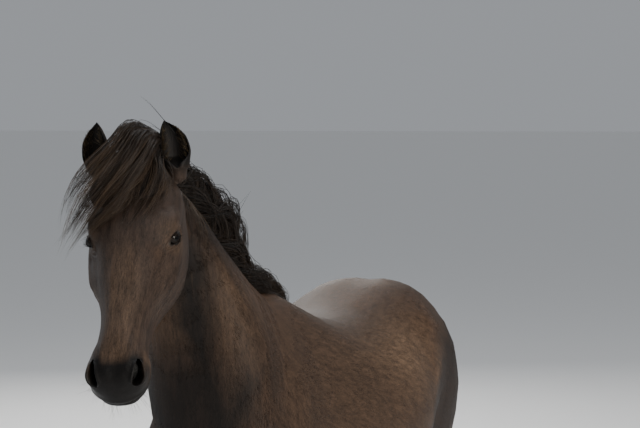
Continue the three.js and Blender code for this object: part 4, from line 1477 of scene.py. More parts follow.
@dataclass
class Mane(LongHair):
    """The mane: it stands up off the whole crest, blows back, and falls to the right."""

    # Place along the neck, drop below the crest, half thickness, and how far it stands over the crest.
    stations: Stations = Stations(
        (0.0, 60, 34, 78), (0.06, 120, 42, 80), (0.12, 170, 46, 60), (0.18, 220, 48, 42), (0.24, 250, 50, 54),
        (0.3, 262, 54, 104), (0.37, 274, 56, 138), (0.44, 278, 58, 134), (0.52, 280, 58, 106),
        (0.64, 268, 60, 88), (0.84, 230, 56, 98), (0.94, 190, 48, 70), (1.0, 150, 38, 38))
    # How far back hair may stream past the withers, and where along a strand it stands highest.
    run: float = 640.0
    top: float = 0.46
    dark: tuple = (0.0085, 0.0068, 0.0058)
    brown: tuple = (0.024, 0.0155, 0.010)

    def guide(self, root: Array, layer: Array, share: Array, fate: Array) -> Array:
        """Returns lines that rise off the crest, lean back with the wind and fall over to the right."""
        t0 = 0.015 + 0.965 * root
        near = fate[:, :1] < 0.22 * ease(0.74, 0.86, root)[:, None]
        blow = np.where(near[:, 0], 0.08, mix(0.24, 0.46, fate[:, 1]))
        t = t0[:, None] - blow[:, None] * (share**0.9)[None, :]
        past = np.maximum(0, -t) * self.run
        t = np.clip(t, 0, 1)
        drop, _, stand = self.stations(t)
        rise = stand * mix(0.3, 1.0, fate[:, 2])[:, None]
        draped = np.where(near[:, 0], 1.0, mix(1.0, 0.1, ease(0.4, 0.95, layer)))
        fall = drop * (draped * mix(0.55, 1.0, fate[:, 3]))[:, None]
        climb = np.sin(np.pi / 2 * np.clip(share / self.top, 0, 1))[None, :]
        after = np.clip((share - self.top) / (1 - self.top), 0, 1) ** 1.9
        high = -7 + (rise + 7) * climb - (rise + fall) * after[None, :]
        f = NECK.frame(t)
        down = np.maximum(0, -high)
        lie = f.half * np.sin(np.minimum(1, down / (2 * f.up)) * np.pi / 2)
        across = mix(14, -14, layer)[:, None]
        side = mix(across, mix(18, -34, layer)[:, None], climb) - after[None, :] * mix(44, 12, layer)[:, None]
        offset = np.where(near, np.abs(side) * 0.3 + lie + 3, side - lie * 0.95 - 6 * (down > 0))
        crest = f.middle - f.down * f.up[..., None]
        withers = (1 - ease(0.06, 0.3, root))[:, None]
        flatter = np.where(high > 0, 0.2 * withers * ease(0, 0.5, share), 0.5 * withers)
        high = high * (1 - flatter)
        back = np.minimum(past, 60 + 0.45 * past)
        lines = crest - f.down * high[..., None] + f.left * (offset * (1 - 0.4 * withers))[..., None]
        return lines + back[..., None] * np.array([0.0, 1.0, -0.2])

    def bleach(self, root: Array, layer: Array, random: np.random.Generator) -> Array:
        """Returns how far the sun has bleached each lock's tip: most on the outer, lower ones."""
        return 0.10 + 0.5 * random.random(len(root)) ** 2 * (1 - 0.5 * layer)

    def core(self) -> Object:
        """Returns the mass of hair under the locks, which is painted darker than them as the shade deep in
        the mane.
        """

        def ring(share: Array, angle: Array) -> Array:
            """Returns the mass's surface."""
            f = NECK.frame(share)
            drop, thick, stand = self.stations(share)
            drop, thick, stand = drop * (0.7 - 0.45 * ease(0.7, 0.95, share)), thick * 0.34, stand * 0.7
            end = rounded_ends(share, 1, (0.08, 0.06))
            half = (drop + stand) / 2
            across, hang = outline(angle, thick * end, half * end, half * end, (2.5, 2.5))
            down = half - stand - hang
            aside = np.where(across > 0, across, across * (0.5 + 0.5 * ease(10, 80, down)))
            lie = f.half * np.sin(np.minimum(1, np.maximum(0, down) / (2 * f.up)) * np.pi / 2)
            return f.middle + f.down * (down - f.up)[:, None] - f.left * (lie * 0.95 + aside + 6)[:, None]

        return new_piece("mane_core", loft(120, 80, ring))


@dataclass
class Forelock(LongHair):
    """The forelock: it stands up off the poll and blows to the right, over the forehead."""

    # Place down it, side, along, rise, half width, half thickness, and the turn of its width.
    stations: Stations = Stations(
        (0.0, 44, -52, 96, 38, 26, 40), (0.2, 16, -14, 140, 48, 46, 38), (0.42, -14, 44, 134, 52, 34, 44),
        (0.68, -64, 110, 112, 64, 30, 46), (0.88, -108, 160, 82, 48, 22, 48),
        (1.0, -134, 188, 56, 24, 11, 48))
    fall: Stations = Stations(
        (0.0, 24, -34, 92, 40, 26, 0), (0.3, 28, 30, 108, 50, 26, 4), (0.6, 24, 90, 110, 56, 20, 10),
        (0.85, 6, 142, 106, 50, 15, 16), (1.0, -10, 178, 98, 34, 8, 20))

    def tables(self) -> tuple[tuple[Stations, float], ...]:
        """Returns the hair blown aside and the hair that falls straight, and how far each leans."""
        return (self.stations, 0.5), (self.fall, 0.0)

    def guide(self, root: Array, layer: Array, share: Array, fate: Array) -> Array:
        """Returns lines that rise from between the ears and stream to the right and down."""
        middle = fate[:, 0] < 0.3
        across = mix(-0.98, 0.98, root)[:, None]
        depth = mix(-0.7, 0.98, layer)[:, None]
        far = np.where(fate[:, 1] < 0.14, mix(1.0, 1.22, fate[:, 2]), mix(0.66, 1.02, fate[:, 2]))
        t = share[None, :] * far[:, None]
        lines = np.empty((len(root), len(share), 3))
        for chosen, (table, spread) in zip((~middle, middle), self.tables()):
            side, at, rise, half, thick, turn = table(t[chosen])
            past = np.maximum(0, t[chosen] - 1)
            from_root = mix(0.5, 1.0, ease(0, 0.22, t[chosen]))
            x = across[chosen] * half * (1 + 0.6 * past) * from_root
            z = depth[chosen] * thick * from_root
            at, rise = at - 30 * (1 - from_root), rise - 64 * (1 - from_root)
            turn = np.radians(turn)
            lean = spread * ease(0.3, 1, t[chosen])
            side = side + x * np.cos(turn) - z * lean - 150 * past
            behind_ear = np.maximum(0, side - 40) * 0.8 * (1 - ease(0.2, 0.5, t[chosen]))
            lines[chosen] = np.stack([side - behind_ear, at + x * np.sin(turn) + 190 * past,
                                      rise + z * (1 - 0.4 * lean) - 90 * past], axis=-1)
        return HEAD.out(lines)

    def bleach(self, root: Array, layer: Array, random: np.random.Generator) -> Array:
        """Returns how far the sun has bleached each lock's tip: most over the temple and on top."""
        return 0.15 + 0.85 * random.random(len(root)) ** 1.6 * mix(0.6, 1.0, layer)

    def core(self) -> Object:
        """Returns the mass of hair under the locks, which is painted darker than them as the shade deep in
        the forelock.
        """

        def ring_of(table: Stations, spread: float) -> Ring:
            """Returns what gives the surface of one of the two masses."""

            def ring(share: Array, angle: Array) -> Array:
                """Returns the mass's surface."""
                t = 0.1 + 0.66 * share
                side, at, rise, half, thick, turn = table(t)
                end = rounded_ends(share, 1, (0.25, 0.3))
                low = thick * 0.7 + 34 * (1 - ease(0.3, 0.6, t))
                x, z = outline(angle, half * 0.66 * end, thick * 0.62 * end, low * end, (2.2, 2.2))
                turn, lean = np.radians(turn), spread * ease(0.3, 1, t)
                return HEAD.out(np.stack([side + x * np.cos(turn) - z * lean, at + x * np.sin(turn),
                                          rise + z * (1 - 0.4 * lean) - 5], axis=-1))

            return ring

        mesh = joined("forelock_core", (loft(60, 48, ring_of(*table)) for table in self.tables()))
        mesh.shade_smooth()
        return new_piece("forelock_core", mesh)


@dataclass
class Tail(LongHair):
    """The tail: thick waved hair from the whole dock to the fetlocks."""

    # Place down it, forward, height, half width, half depth.
    stations: Stations = Stations(
        (0.0, -620, 1206, 26, 24), (0.08, -690, 1214, 42, 36), (0.18, -742, 1170, 56, 46),
        (0.3, -766, 1070, 70, 56), (0.5, -778, 870, 88, 66), (0.7, -778, 640, 97, 66),
        (0.88, -770, 430, 82, 54), (1.0, -764, 290, 50, 32))

    def surface(self, t: Array, across: Array, deep: Array, shrink: float = 1.0) -> Array:
        """Returns places in the tail, at a share of its length and of its half width and half depth."""
        ahead, up, half, depth = self.stations(t)
        a0, u0, _, _ = self.stations(t - 0.02)
        a1, u1, _, _ = self.stations(t + 0.02)
        run = np.hypot(a1 - a0, u1 - u0)
        out = deep * depth * shrink
        ahead, up = ahead + out * (u1 - u0) / run, up - out * (a1 - a0) / run
        return np.stack([across * half * shrink, -ahead, up], axis=-1)

    def guide(self, root: Array, layer: Array, share: Array, fate: Array) -> Array:
        """Returns lines that leave the dock and hang to the tail's tip."""
        start = mix(0.0, 0.3, layer**1.5)
        end = mix(0.84, 1.0, fate[:, 1] ** 0.7)
        t = mix(start[:, None], end[:, None], share[None, :])
        turn = (2 * np.pi * root + mix(-0.5, 0.5, fate[:, 2]))[:, None]
        reach = mix(1.0, 0.45, layer)[:, None] * mix(0.72, 1.0, ease(0, 0.35, share))[None, :]
        return self.surface(t, reach * np.sin(turn), reach * np.cos(turn))

    def core(self) -> Object:
        """Returns the mass of hair under the locks, with the dock in it, which is painted darker than them as
        the shade deep in the tail.
        """

        def ring(share: Array, angle: Array) -> Array:
            """Returns the mass's surface."""
            t = 0.84 * share
            end = rounded_ends(share, 1, (0.05, 0.45))
            x, y = outline(angle, end, end, end, (2.2, 2.2))
            return self.surface(t, x, y, 0.56)

        return new_piece("tail_core", loft(110, 60, ring))


LONG_HAIR = (
    Mane("mane_left", "mane", 122, 41), Mane("mane_right", "mane", 122, 42, cored=False),
    Forelock("forelock_locks", "forelock", 124, 43, swing=(5.0, 17.0)), Tail("tail_locks", "tail", 124, 44))


@dataclass(frozen=True)
class TuftKind:
    """How the tufts of one part of the coat are made.

    Attributes:
        name: the piece's name.
        regions: the regions that it covers.
        count: how many tufts it has.
        length: a tuft's length.
        width: a tuft's half width.
        lift: how far its tip stands off the skin for its length.
        seed: where its random numbers start.
    """

    name: str
    regions: tuple
    count: int
    length: float
    width: float
    lift: float
    seed: int


TUFT_KINDS = (
    TuftKind("coat_head", (Region.HEAD, Region.EAR), 43_000, 5.5, 0.30, 0.09, 21),
    TuftKind("coat_neck", (Region.NECK,), 31_000, 10.5, 0.5, 0.07, 22),
    TuftKind("coat_front", (Region.TRUNK,), 41_000, 12.0, 0.55, 0.06, 23),
    TuftKind("coat_rear", (Region.TRUNK,), 41_000, 12.0, 0.55, 0.06, 25),
    TuftKind("coat_legs", (Region.FORELEG, Region.HINDLEG), 34_000, 9.0, 0.5, 0.09, 24),
)


def share_of(kind: TuftKind, points: Array) -> Array:
    """Works out how thickly one kind of tuft grows, so that the kinds fade into each other.

    Args:
        kind: the kind of tuft.
        points: places on the skin.

    Returns:
        A share from 0 to 1 for each place.
    """
    head, ahead, up = on_head(points), -points[:, 1], points[:, 2]
    ear = (regions_of(points) == Region.EAR).astype(float)
    neck = (1 - head) * ease(-60, 60, leaning(points)) * ease(980, 1100, up)
    fore = (1 - ease(690, 800, up)) * (ahead > 150)
    hind = (1 - ease(880, 1000, up + 0.25 * (ahead + 560))) * (ahead < -180)
    legs = np.maximum(fore, hind) * (1 - neck)
    if Region.HEAD in kind.regions:
        return np.maximum(head * (1 - ear), ear)
    if Region.NECK in kind.regions:
        return neck * (1 - ear)
    if Region.FORELEG in kind.regions:
        return legs
    rear = 1 - ease(-160, 0, ahead)
    return (1 - neck) * (1 - legs) * (1 - head) * (rear if kind.name == "coat_rear" else 1 - rear)


@dataclass
class Coat:
    """The short hair of the coat, as thin overlapping tufts that lie along the body."""

    skin: SkinField

    def build(self, kind: TuftKind) -> Object:
        """Returns one piece of the coat."""
        random = np.random.default_rng(kind.seed)
        weight = share_of(kind, self.skin.centres) * (1 - 0.93 * bare_skin(self.skin.centres))
        weight *= 0.8 + 0.4 * ease(0.3, 0.7, noise(self.skin.centres, 40, 31))
        root, normal, colour = self.skin.scatter(weight, kind.count, random)
        normal = unit(normal)
        flow = flow_of(root)
        flow = unit(flow - normal * (flow * normal).sum(1, keepdims=True))
        jitter = random.normal(0, 0.22, kind.count)[:, None]
        flow = unit(flow + np.cross(normal, flow) * jitter * 0.7)
        length = self.length(kind, root) * mix(0.65, 1.3, random.random(kind.count))
        length *= 1 - 0.55 * bare_skin(root)
        share = np.linspace(0, 1, 2)[None, :, None]
        lift = kind.lift * mix(0.55, 1.5, random.random(kind.count) ** 1.5)[:, None, None]
        lines = root[:, None, :] - normal[:, None, :] * 0.3 + flow[:, None, :] * share * length[:, None, None]
        lines = lines + normal[:, None, :] * share * length[:, None, None] * lift
        tint = mix(0.84, 1.16, random.random(kind.count))[:, None]
        pale = random.random(kind.count) < 0.008
        # the tufts are painted 1.3 times lighter than the skin under them, as painted light that offsets
        # their own shade
        colour = np.where(pale[:, None], colour * 2.2 + 0.004, colour * tint * 1.3)
        colours = colour[:, None, :] * np.array([0.95, 1.15])[None, :, None]
        width = kind.width * mix(0.6, 1.3, random.random(kind.count))
        width = width * np.minimum(1, length / kind.length + 0.15)
        made = Strands(lines, normal, width, 0.22, np.array([1.0, 0.0]), unwrap(root), colours)
        return new_piece(kind.name, made.mesh(kind.name))

    def length(self, kind: TuftKind, root: Array) -> Array:
        """Works out how long the hair is: longer on the jaw, the belly and behind the fetlocks.

        Args:
            kind: the kind of tuft.
            root: the tufts' places.

        Returns:
            The length of each.
        """
        _, y, z = root.T
        head = HEAD.into(root)
        length = kind.length * (1 + 0.35 * ease(0.5, 0.75, noise(root, 80, 33)))
        if Region.TRUNK in kind.regions:
            length *= 1 + 0.25 * (1 - ease(720, 840, z))
        if Region.HEAD in kind.regions:
            length *= 1 + 1.4 * (1 - ease(-110, -50, head[:, 2])) * (1 - ease(330, 470, head[:, 1]))
            length *= 1 + 0.6 * (1 - ease(20, 110, head[:, 1]))
            length = np.where(regions_of(root) == Region.EAR, 0.8 * kind.length, length)
        if Region.FORELEG in kind.regions:
            behind = np.where(y < 0, y + 440, y - 640)
            length *= 1 + 2.6 * (bell((z, 178, 34)) * ease(-5, 25, behind))
            length *= 1 + 0.5 * bell((z, 70, 16))
        return length


# Fine hair of the head

@dataclass
class FineHair:
    """The hair in the ears, the lashes, the whiskers and one strand that the wind lifts."""

    skin: SkinField
    mane: Stations
    steps: int = 6

    def ears(self) -> Object:
        """Returns the pale and dark hairs that fill the ears' hollows."""
        random = np.random.default_rng(51)
        lines, colours, count = [], [], 380
        for ear in EARS.values():
            _, up, across, facing = ear.frame()
            at = mix(24, 108, random.random(count) ** 0.85)
            half, deep, _ = ear.stations(at)
            turn = np.where(random.random(count) < 0.5, 1, -1) * mix(0.85, 2.6, random.random(count))
            x, y = np.sin(turn) * half * 0.84, np.cos(turn) * deep * 0.8
            aim = unit(facing * mix(0.5, 1.0, random.random(count))[:, None]
                       - across * (np.sign(x) * mix(0.1, 0.9, random.random(count)))[:, None]
                       + up * mix(0.1, 0.9, random.random(count))[:, None])
            length = mix(8, 22, random.random(count)) * np.clip((128 - at) / 60, 0.35, 1)
            lines.append(self.sprung(ear.placed(at, x, y), aim, length, up * 0.25))
            pale = random.random(count)[:, None] ** 1.5
            shade = mix(np.array([0.010, 0.008, 0.006]), np.array([0.11, 0.078, 0.042]), pale)
            colours.append(np.repeat(shade[:, None, :], self.steps, axis=1))
        return self.made("ear_hair", np.concatenate(lines), 0.36, np.concatenate(colours), random)

    def lashes(self) -> Object:
        """Returns the lashes of the four lids."""
        random = np.random.default_rng(52)
        eye = EyeOpening()
        gaze, slit, over = eye.axes()
        lines = []
        for side in Side:
            for upper, count, long in ((True, 44, 8.5), (False, 16, 5.0)):
                run = mix(-0.85, 0.85, random.random(count)) * eye.length
                tall = eye.above if upper else -eye.under
                high = tall * (1 - np.abs(run / eye.length) ** 1.7) ** (1 / 1.7)
                out = np.sqrt((EYE_RADIUS + eye.lid - 0.3) ** 2 - run**2 - high**2)
                fan = slit * random.normal(0.1, 0.15, count)[:, None]
                aim = unit(gaze + over * (0.25 if upper else -0.7) + fan)
                start = EYE_PLACE + gaze * out[:, None] + slit * run[:, None] + over * high[:, None]
                length = long * mix(0.7, 1.1, random.random(count))
                line = self.sprung(start, aim, length, over * (-0.25 if upper else 0.2))
                lines.append(HEAD.out(line * side.flip))
        line = np.concatenate(lines)
        colours = np.full((*line.shape[:2], 3), 0.010)
        return self.made("lashes", line, 0.15, colours, random)

    def whiskers(self) -> Object:
        """Returns the long whiskers of the lips and chin, and a few round the eyes."""
        random = np.random.default_rng(53)
        head = HEAD.into(self.skin.centres)
        chin = ease(440, 480, head[:, 1]) * (head[:, 2] < -22) * (-self.skin.centres[:, 1] > 900)
        under = 0.06 * ease(455, 500, head[:, 1]) * (-self.skin.centres[:, 1] > 900)
        root, normal, _ = self.skin.scatter(chin + under + 1e-9 * (head[:, 1] > 500), 90, random)
        flow = unit(unit(normal) + 0.5 * unit(flow_of(root)) + random.normal(0, 0.2, root.shape))
        length = mix(14, 42, random.random(len(root)) ** 1.4)
        line = self.sprung(root, flow, length, np.array([0, 0, -0.18]))
        colours = np.full((*line.shape[:2], 3), 0.018)
        return self.made("whiskers", line, 0.17, colours, random)

    def loose(self) -> Object:
        """Returns the loose strands that the wind lifts off the poll and the crest."""
        random = np.random.default_rng(54)
        share = np.linspace(0, 1, 16)
        root, up, across, _ = EARS["ear_left"].frame()
        start = root + up * 90 + across * 6
        sweep = np.stack([-92 * share - 6 * np.sin(5 * share), 6 * share - 12 * share**2,
                          88 * share**0.9 + 6 * np.sin(4.2 * share)], axis=1)
        lines = [start + sweep + random.normal(0, 1.2, 3) * share[:, None] for _ in range(2)]
        for t in mix(0.25, 0.95, random.random(9)):
            f = NECK.frame(np.array([t]))
            _, _, stand = self.mane(np.array([t]))
            top = (f.middle - f.down * (f.up + stand * 0.8)[:, None])[0]
            aim = unit(np.array([0.15, 0.7, 0.5]) + random.normal(0, 0.35, 3))
            bend = unit(random.normal(0, 1, 3)) * 50
            length = 30 + 50 * random.random()
            lines.append(top + aim * (share * length)[:, None] + bend * (share**2)[:, None] * random.random())
        line = np.array(lines)
        colours = np.full((*line.shape[:2], 3), 0.020)
        return self.made("loose_hair", line, 0.45, colours, random)

    def sprung(self, root: Array, aim: Array, length: Array, bend: Array) -> Array:
        """Returns the lines of short hairs.

        Args:
            root: where each hair starts.
            aim: the direction in which it leaves the skin.
            length: how long it is.
            bend: how far its tip has bent for its length.

        Returns:
            The lines, as hair, place along it, and point.
        """
        share = np.linspace(0, 1, self.steps)[None, :, None]
        length = length[:, None, None]
        return root[:, None, :] + aim[:, None, :] * share * length + bend * share**2 * length

    def made(self, name: str, lines: Array, width: float, colours: Array,
             random: np.random.Generator) -> Object:
        """Returns fine hairs along the lines as one piece."""
        count, steps, _ = lines.shape
        taper = np.interp(np.linspace(0, 1, steps), [0, 0.5, 1], [1.0, 0.8, 0.1])
        wide = width * mix(0.7, 1.3, random.random(count))
        facing = unit(random.normal(0, 1, (count, 3)))
        hairs = Strands(lines, facing, wide, 1.3, taper, unwrap(lines[:, 0]), colours)
        return new_piece(name, hairs.mesh(name))


# Eyes and hooves

@dataclass
class Eye:
    """One eyeball, with its clear front raised a little over the iris."""

    side: Side
    iris: float = 12.5

    def build(self) -> Object:
        """Returns the eyeball, coloured from its pupil out."""
        gaze, slit, over = EyeOpening().axes()

        def ring(share: Array, angle: Array) -> Array:
            """Returns the ball's surface, with its pole at the middle of the iris."""
            turn = np.pi * share
            out, wide = np.cos(turn), np.sin(turn)
            bulge = 1.3 * np.exp(-((wide * EYE_RADIUS / self.iris) ** 4)) * (out > 0)
            local = (gaze * (out * EYE_RADIUS + bulge)[:, None]
                     + slit * (wide * np.sin(angle) * EYE_RADIUS)[:, None]
                     + over * (wide * np.cos(angle) * EYE_RADIUS)[:, None])
            return HEAD.out((EYE_PLACE + local) * self.side.flip)

        piece = new_piece(f"eyeball_{self.side.name.lower()}", loft(80, 96, ring))
        out, run, high = EyeOpening().local(HEAD.into(points_of(piece.data)), self.side)
        away = np.hypot(run, high)
        pupil = np.hypot(run / 8.0, high / 4.2)
        spokes = noise(np.stack([np.arctan2(high, run) * 9, away * 0.25, away * 0], axis=1), 1.0, 61)
        colour = mix(np.array([0.0035, 0.0022, 0.0015]), np.array([0.009, 0.005, 0.0028]), spokes[:, None])
        colour = mix(colour, np.array([0.0015, 0.0013, 0.0013]), (1 - ease(0.85, 1.1, pupil))[:, None])
        colour = mix(colour, np.array([0.003, 0.002, 0.0016]), ease(11, 12.8, away)[:, None])
        colour = mix(colour, np.array([0.012, 0.008, 0.006]), (ease(15.5, 19, away) * (out > 0))[:, None])
        paint(piece.data, "coat", colour)
        return piece


@dataclass
class Hoof:
    """One hoof: a sloping wall with growth rings, higher at the toe, on a flat sole."""

    name: str
    leg: Leg
    toe: float = 70.0
    heel: float = 34.0
    length: float = 60.0
    half: float = 56.0
    coronet: float = 0.79
    lean: float = 26.0
    levels: int = 12
    insets: tuple = (0.05, 0.06, 0.25)

    def build(self) -> Object:
        """Returns the hoof, painted with its streaks."""
        form = bmesh.new()
        bmesh.ops.create_cone(form, cap_ends=True, segments=96, radius1=1.0, radius2=1.0, depth=1.0)
        for level in range(1, self.levels):
            bmesh.ops.bisect_plane(form, geom=form.verts[:] + form.edges[:] + form.faces[:],
                                   plane_co=(0, 0, level / self.levels - 0.5), plane_no=(0, 0, 1))
        caps = [f for f in form.faces if abs(f.normal.z) > 0.9]
        for inset in self.insets:
            bmesh.ops.inset_region(form, faces=caps, thickness=inset, depth=0)
        mesh = mesh_of(self.name, form)
        set_points(mesh, self.shaped(read(mesh.vertices, "co", 3).astype(float)))
        at = points_of(outward(mesh))
        tone = mix(0.009, 0.026, noise(at * np.array([1, 1, 0.15]), 7, 71))[:, None]
        paint(mesh, "coat", tone * np.array([1.0, 0.88, 0.78]))
        return new_piece(self.name + "_horn", mesh)

    def shaped(self, at: Array) -> Array:
        """Returns the hoof's points from those of a plain drum, x to the side and y forward."""
        x, y, share = at[:, 0], at[:, 1], at[:, 2] + 0.5
        round_it = np.hypot(x, y)
        size = mix(1.0, self.coronet, share)
        wall = ease(0.85, 1.0, round_it)
        rings = 0.008 * np.sin(46 * share + 2 * np.sin(3 * share)) * (share < 0.93) * (share > 0.04)
        band = 0.03 * bell((share, 0.95, 0.05))
        edge = -0.02 * (1 - ease(0.0, 0.05, share))
        size = size * (1 + wall * (rings + band + edge))
        height = mix(self.heel, self.toe, (y + 1) / 2)
        tuck = np.where(y < 0, 1 - 0.1 * y * y, 1)
        cleft = 0.16 * bell((x, 0, 0.12)) * (y < -0.3) * (1 - 0.4 * share)
        aside, foot = (128, 508) if self.leg.fore else (127, -568)
        side = self.leg.side * aside
        ahead = foot + self.leg.step - self.lean * share + y * self.length * size * (1 - cleft)
        hollow = np.where(share < 0.02, 5 * (1 - ease(0.55, 0.9, round_it)), 0)
        cap = np.where(share > 0.98, 3 * (1 - ease(0.5, 1.0, round_it)), 0)
        return np.stack([side + x * self.half * size * tuck, -ahead, share * height + hollow + cap], axis=1)


# Finishes

class Nodes:
    """A material's node tree, with short ways to add and join nodes."""

    def __init__(self, tree: NodeTree) -> None:
        """Takes the tree to build in."""
        self.tree = tree

    def fill(self, node: Node, inputs: dict) -> None:
        """Sets inputs of a node, by name or number, to values or joins them to outputs."""
        for name, value in inputs.items():
            if isinstance(value, NodeSocket):
                self.tree.links.new(value, node.inputs[name])
            else:
                node.inputs[name].default_value = value

    def add(self, kind: str, inputs: dict | None = None, **values: object) -> Node:
        """Returns a new node.

        Args:
            kind: the node's type.
            inputs: what its inputs hold, or the outputs that they are joined to.
            values: its properties.

        Returns:
            The node.
        """
        node = self.tree.nodes.new(kind)
        for name, value in values.items():
            setattr(node, name, value)
        self.fill(node, inputs or {})
        return node

    def math(self, operation: str, first: NodeSocket, second: NodeSocket | float) -> NodeSocket:
        """Returns the output of a sum on two values."""
        return self.add("ShaderNodeMath", {0: first, 1: second}, operation=operation).outputs[0]

    def vector(self, operation: str, inputs: dict) -> Node:
        """Returns a sum on vectors as a node."""
        return self.add("ShaderNodeVectorMath", inputs, operation=operation)

    def noise(self, place: NodeSocket, scale: NodeSocket | float, detail: float) -> NodeSocket:
        """Returns the output of a noise."""
        return self.add("ShaderNodeTexNoise", {"Vector": place, "Scale": scale, "Detail": detail}).outputs[0]

    def blend(self, share: NodeSocket, low: NodeSocket, high: NodeSocket | float) -> NodeSocket:
        """Returns the output of a mix of two values."""
        return self.add("ShaderNodeMix", {0: share, 2: low, 3: high}, data_type="FLOAT").outputs[0]

    def moved(self, value: NodeSocket, source: tuple, target: tuple) -> NodeSocket:
        """Returns the output of a value moved from one range to another."""
        ends = {"From Min": source[0], "From Max": source[1], "To Min": target[0], "To Max": target[1]}
        return self.add("ShaderNodeMapRange", {"Value": value, **ends}).outputs[0]


# The three ways in which the coat's grain runs: along the trunk, down, and along the head.
LIES = ((0.0, 0.89, -0.45), (0.0, 0.17, -0.98),
        tuple(unit(HEAD.out(np.array([0.0, 1.0, 0.0])) - HEAD.out(np.array([0.0, 0.0, 0.0])))))
SPECK_SCALE, SPECK_DETAIL, STREAK_DETAIL = 420.0, 4.0, 3.0


def new_grain(name: str, size: float, stretch: float, speckle: float) -> tuple[Nodes, Node, NodeSocket]:
    """Returns the start of a node group that gives grain: a mask and a height.

    Args:
        name: the group's name.
        size: how fine the streaks are.
        stretch: their width for their length.
        speckle: how much of the mask is plain specks.

    Returns:
        The group's nodes, its entry, and the place on the surface.
    """
    group = bpy.data.node_groups.new(name, "ShaderNodeTree")
    for socket, value in (("Size", size), ("Stretch", stretch), ("Speckle", speckle)):
        made = group.interface.new_socket(socket, in_out="INPUT", socket_type="NodeSocketFloat")
        made.default_value = value
    for socket in ("Mask", "Height"):
        group.interface.new_socket(socket, in_out="OUTPUT", socket_type="NodeSocketFloat")
    nodes = Nodes(group)
    return nodes, nodes.add("NodeGroupInput"), nodes.add("ShaderNodeTexCoord").outputs["Object"]


def lain_grain_group() -> NodeTree:
    """Returns the node group that gives hair grain along the lie of the coat."""
    nodes, entry, place = new_grain(Grain.LAIN.value, 520.0, 0.12, 0.35)
    lie = nodes.add("ShaderNodeAttribute", attribute_name="lie").outputs["Vector"]
    shares = nodes.add("ShaderNodeSeparateXYZ", {0: lie}).outputs
    shrink = nodes.math("SUBTRACT", entry.outputs["Stretch"], 1.0)
    sums = [0.0, 0.0]
    for way, share in zip(LIES, shares):
        along = nodes.vector("DOT_PRODUCT", {0: place, 1: way}).outputs["Value"]
        less = nodes.vector("SCALE", {0: way, "Scale": nodes.math("MULTIPLY", along, shrink)}).outputs[0]
        squeezed = nodes.vector("ADD", {0: place, 1: less}).outputs[0]
        for k, scale in enumerate((1.0, 0.22)):
            size = nodes.math("MULTIPLY", entry.outputs["Size"], scale)
            part = nodes.math("MULTIPLY", nodes.noise(squeezed, size, STREAK_DETAIL), share)
            sums[k] = nodes.math("ADD", part, sums[k])
    both = nodes.math("ADD", *(nodes.math("MULTIPLY", total, 0.5) for total in sums))
    mask = nodes.blend(entry.outputs["Speckle"], both, nodes.noise(place, SPECK_SCALE, SPECK_DETAIL))
    nodes.add("NodeGroupOutput", {"Mask": mask, "Height": both})
    return nodes.tree


def grain_group() -> NodeTree:
    """Returns the node group that gives fine hair grain, streaked from front to rear."""
    nodes, entry, place = new_grain(Grain.FINE.value, 900.0, 0.22, 0.5)
    stretch = entry.outputs["Stretch"]
    squeeze = nodes.add("ShaderNodeCombineXYZ", {0: 1.0, 1: stretch, 2: stretch}).outputs[0]
    stretched = nodes.vector("MULTIPLY", {0: place, 1: squeeze}).outputs[0]
    streaks = nodes.noise(stretched, entry.outputs["Size"], STREAK_DETAIL)
    mask = nodes.blend(entry.outputs["Speckle"], streaks, nodes.noise(place, SPECK_SCALE, SPECK_DETAIL))
    nodes.add("NodeGroupOutput", {"Mask": mask, "Height": streaks})
    return nodes.tree


# The part of the grain's mask that the colour is spread over.
GRAIN_RANGE = (0.36, 0.64)


@dataclass(frozen=True)
class Finish:
    """A finish that takes its colour from the piece's own painted colours.

    Attributes:
        name: the material's name.
        rough: its roughness, at the least and at the most.
        specular: the strength of its gloss.
        contrast: how far the grain darkens and lightens the colour.
        bump: how deep the grain stands, in metres.
        coat: the weight of a clear layer over it.
        grain: the grain's size, stretch and speckle.
        lie: which grain it has.
    """

    name: str
    rough: tuple = (0.45, 0.65)
    specular: float = 0.4
    contrast: float = 0.5
    bump: float = 0.0006
    coat: float = 0.0
    grain: tuple = (900.0, 0.22, 0.5)
    lie: Grain = Grain.FINE

    def make(self, grain: NodeTree) -> Material:
        """Returns the finish as a material.

        Args:
            grain: the node group that gives its grain.

        Returns:
            The material.
        """
        material = bpy.data.materials.new(self.name)
        material.use_nodes = True
        nodes = Nodes(material.node_tree)
        painted = nodes.add("ShaderNodeAttribute", attribute_name="coat").outputs["Color"]
        grains = dict(zip(("Size", "Stretch", "Speckle"), self.grain))
        streaks = nodes.add("ShaderNodeGroup", grains, node_tree=grain).outputs
        spread = nodes.moved(streaks["Mask"], GRAIN_RANGE, (1 - self.contrast, 1 + self.contrast))
        nodes.fill(material.node_tree.nodes["Principled BSDF"], {
            "Base Color": nodes.vector("SCALE", {0: painted, "Scale": spread}).outputs[0],
            "Roughness": nodes.moved(streaks["Mask"], (0.0, 1.0), self.rough),
            "Specular IOR Level": self.specular,
            "Coat Weight": self.coat,
            "Coat Roughness": 0.03})
        if self.bump:
            bump = nodes.add("ShaderNodeBump", {"Distance": self.bump, "Height": streaks["Height"]})
            nodes.fill(material.node_tree.nodes["Principled BSDF"], {"Normal": bump.outputs[0]})
        return material


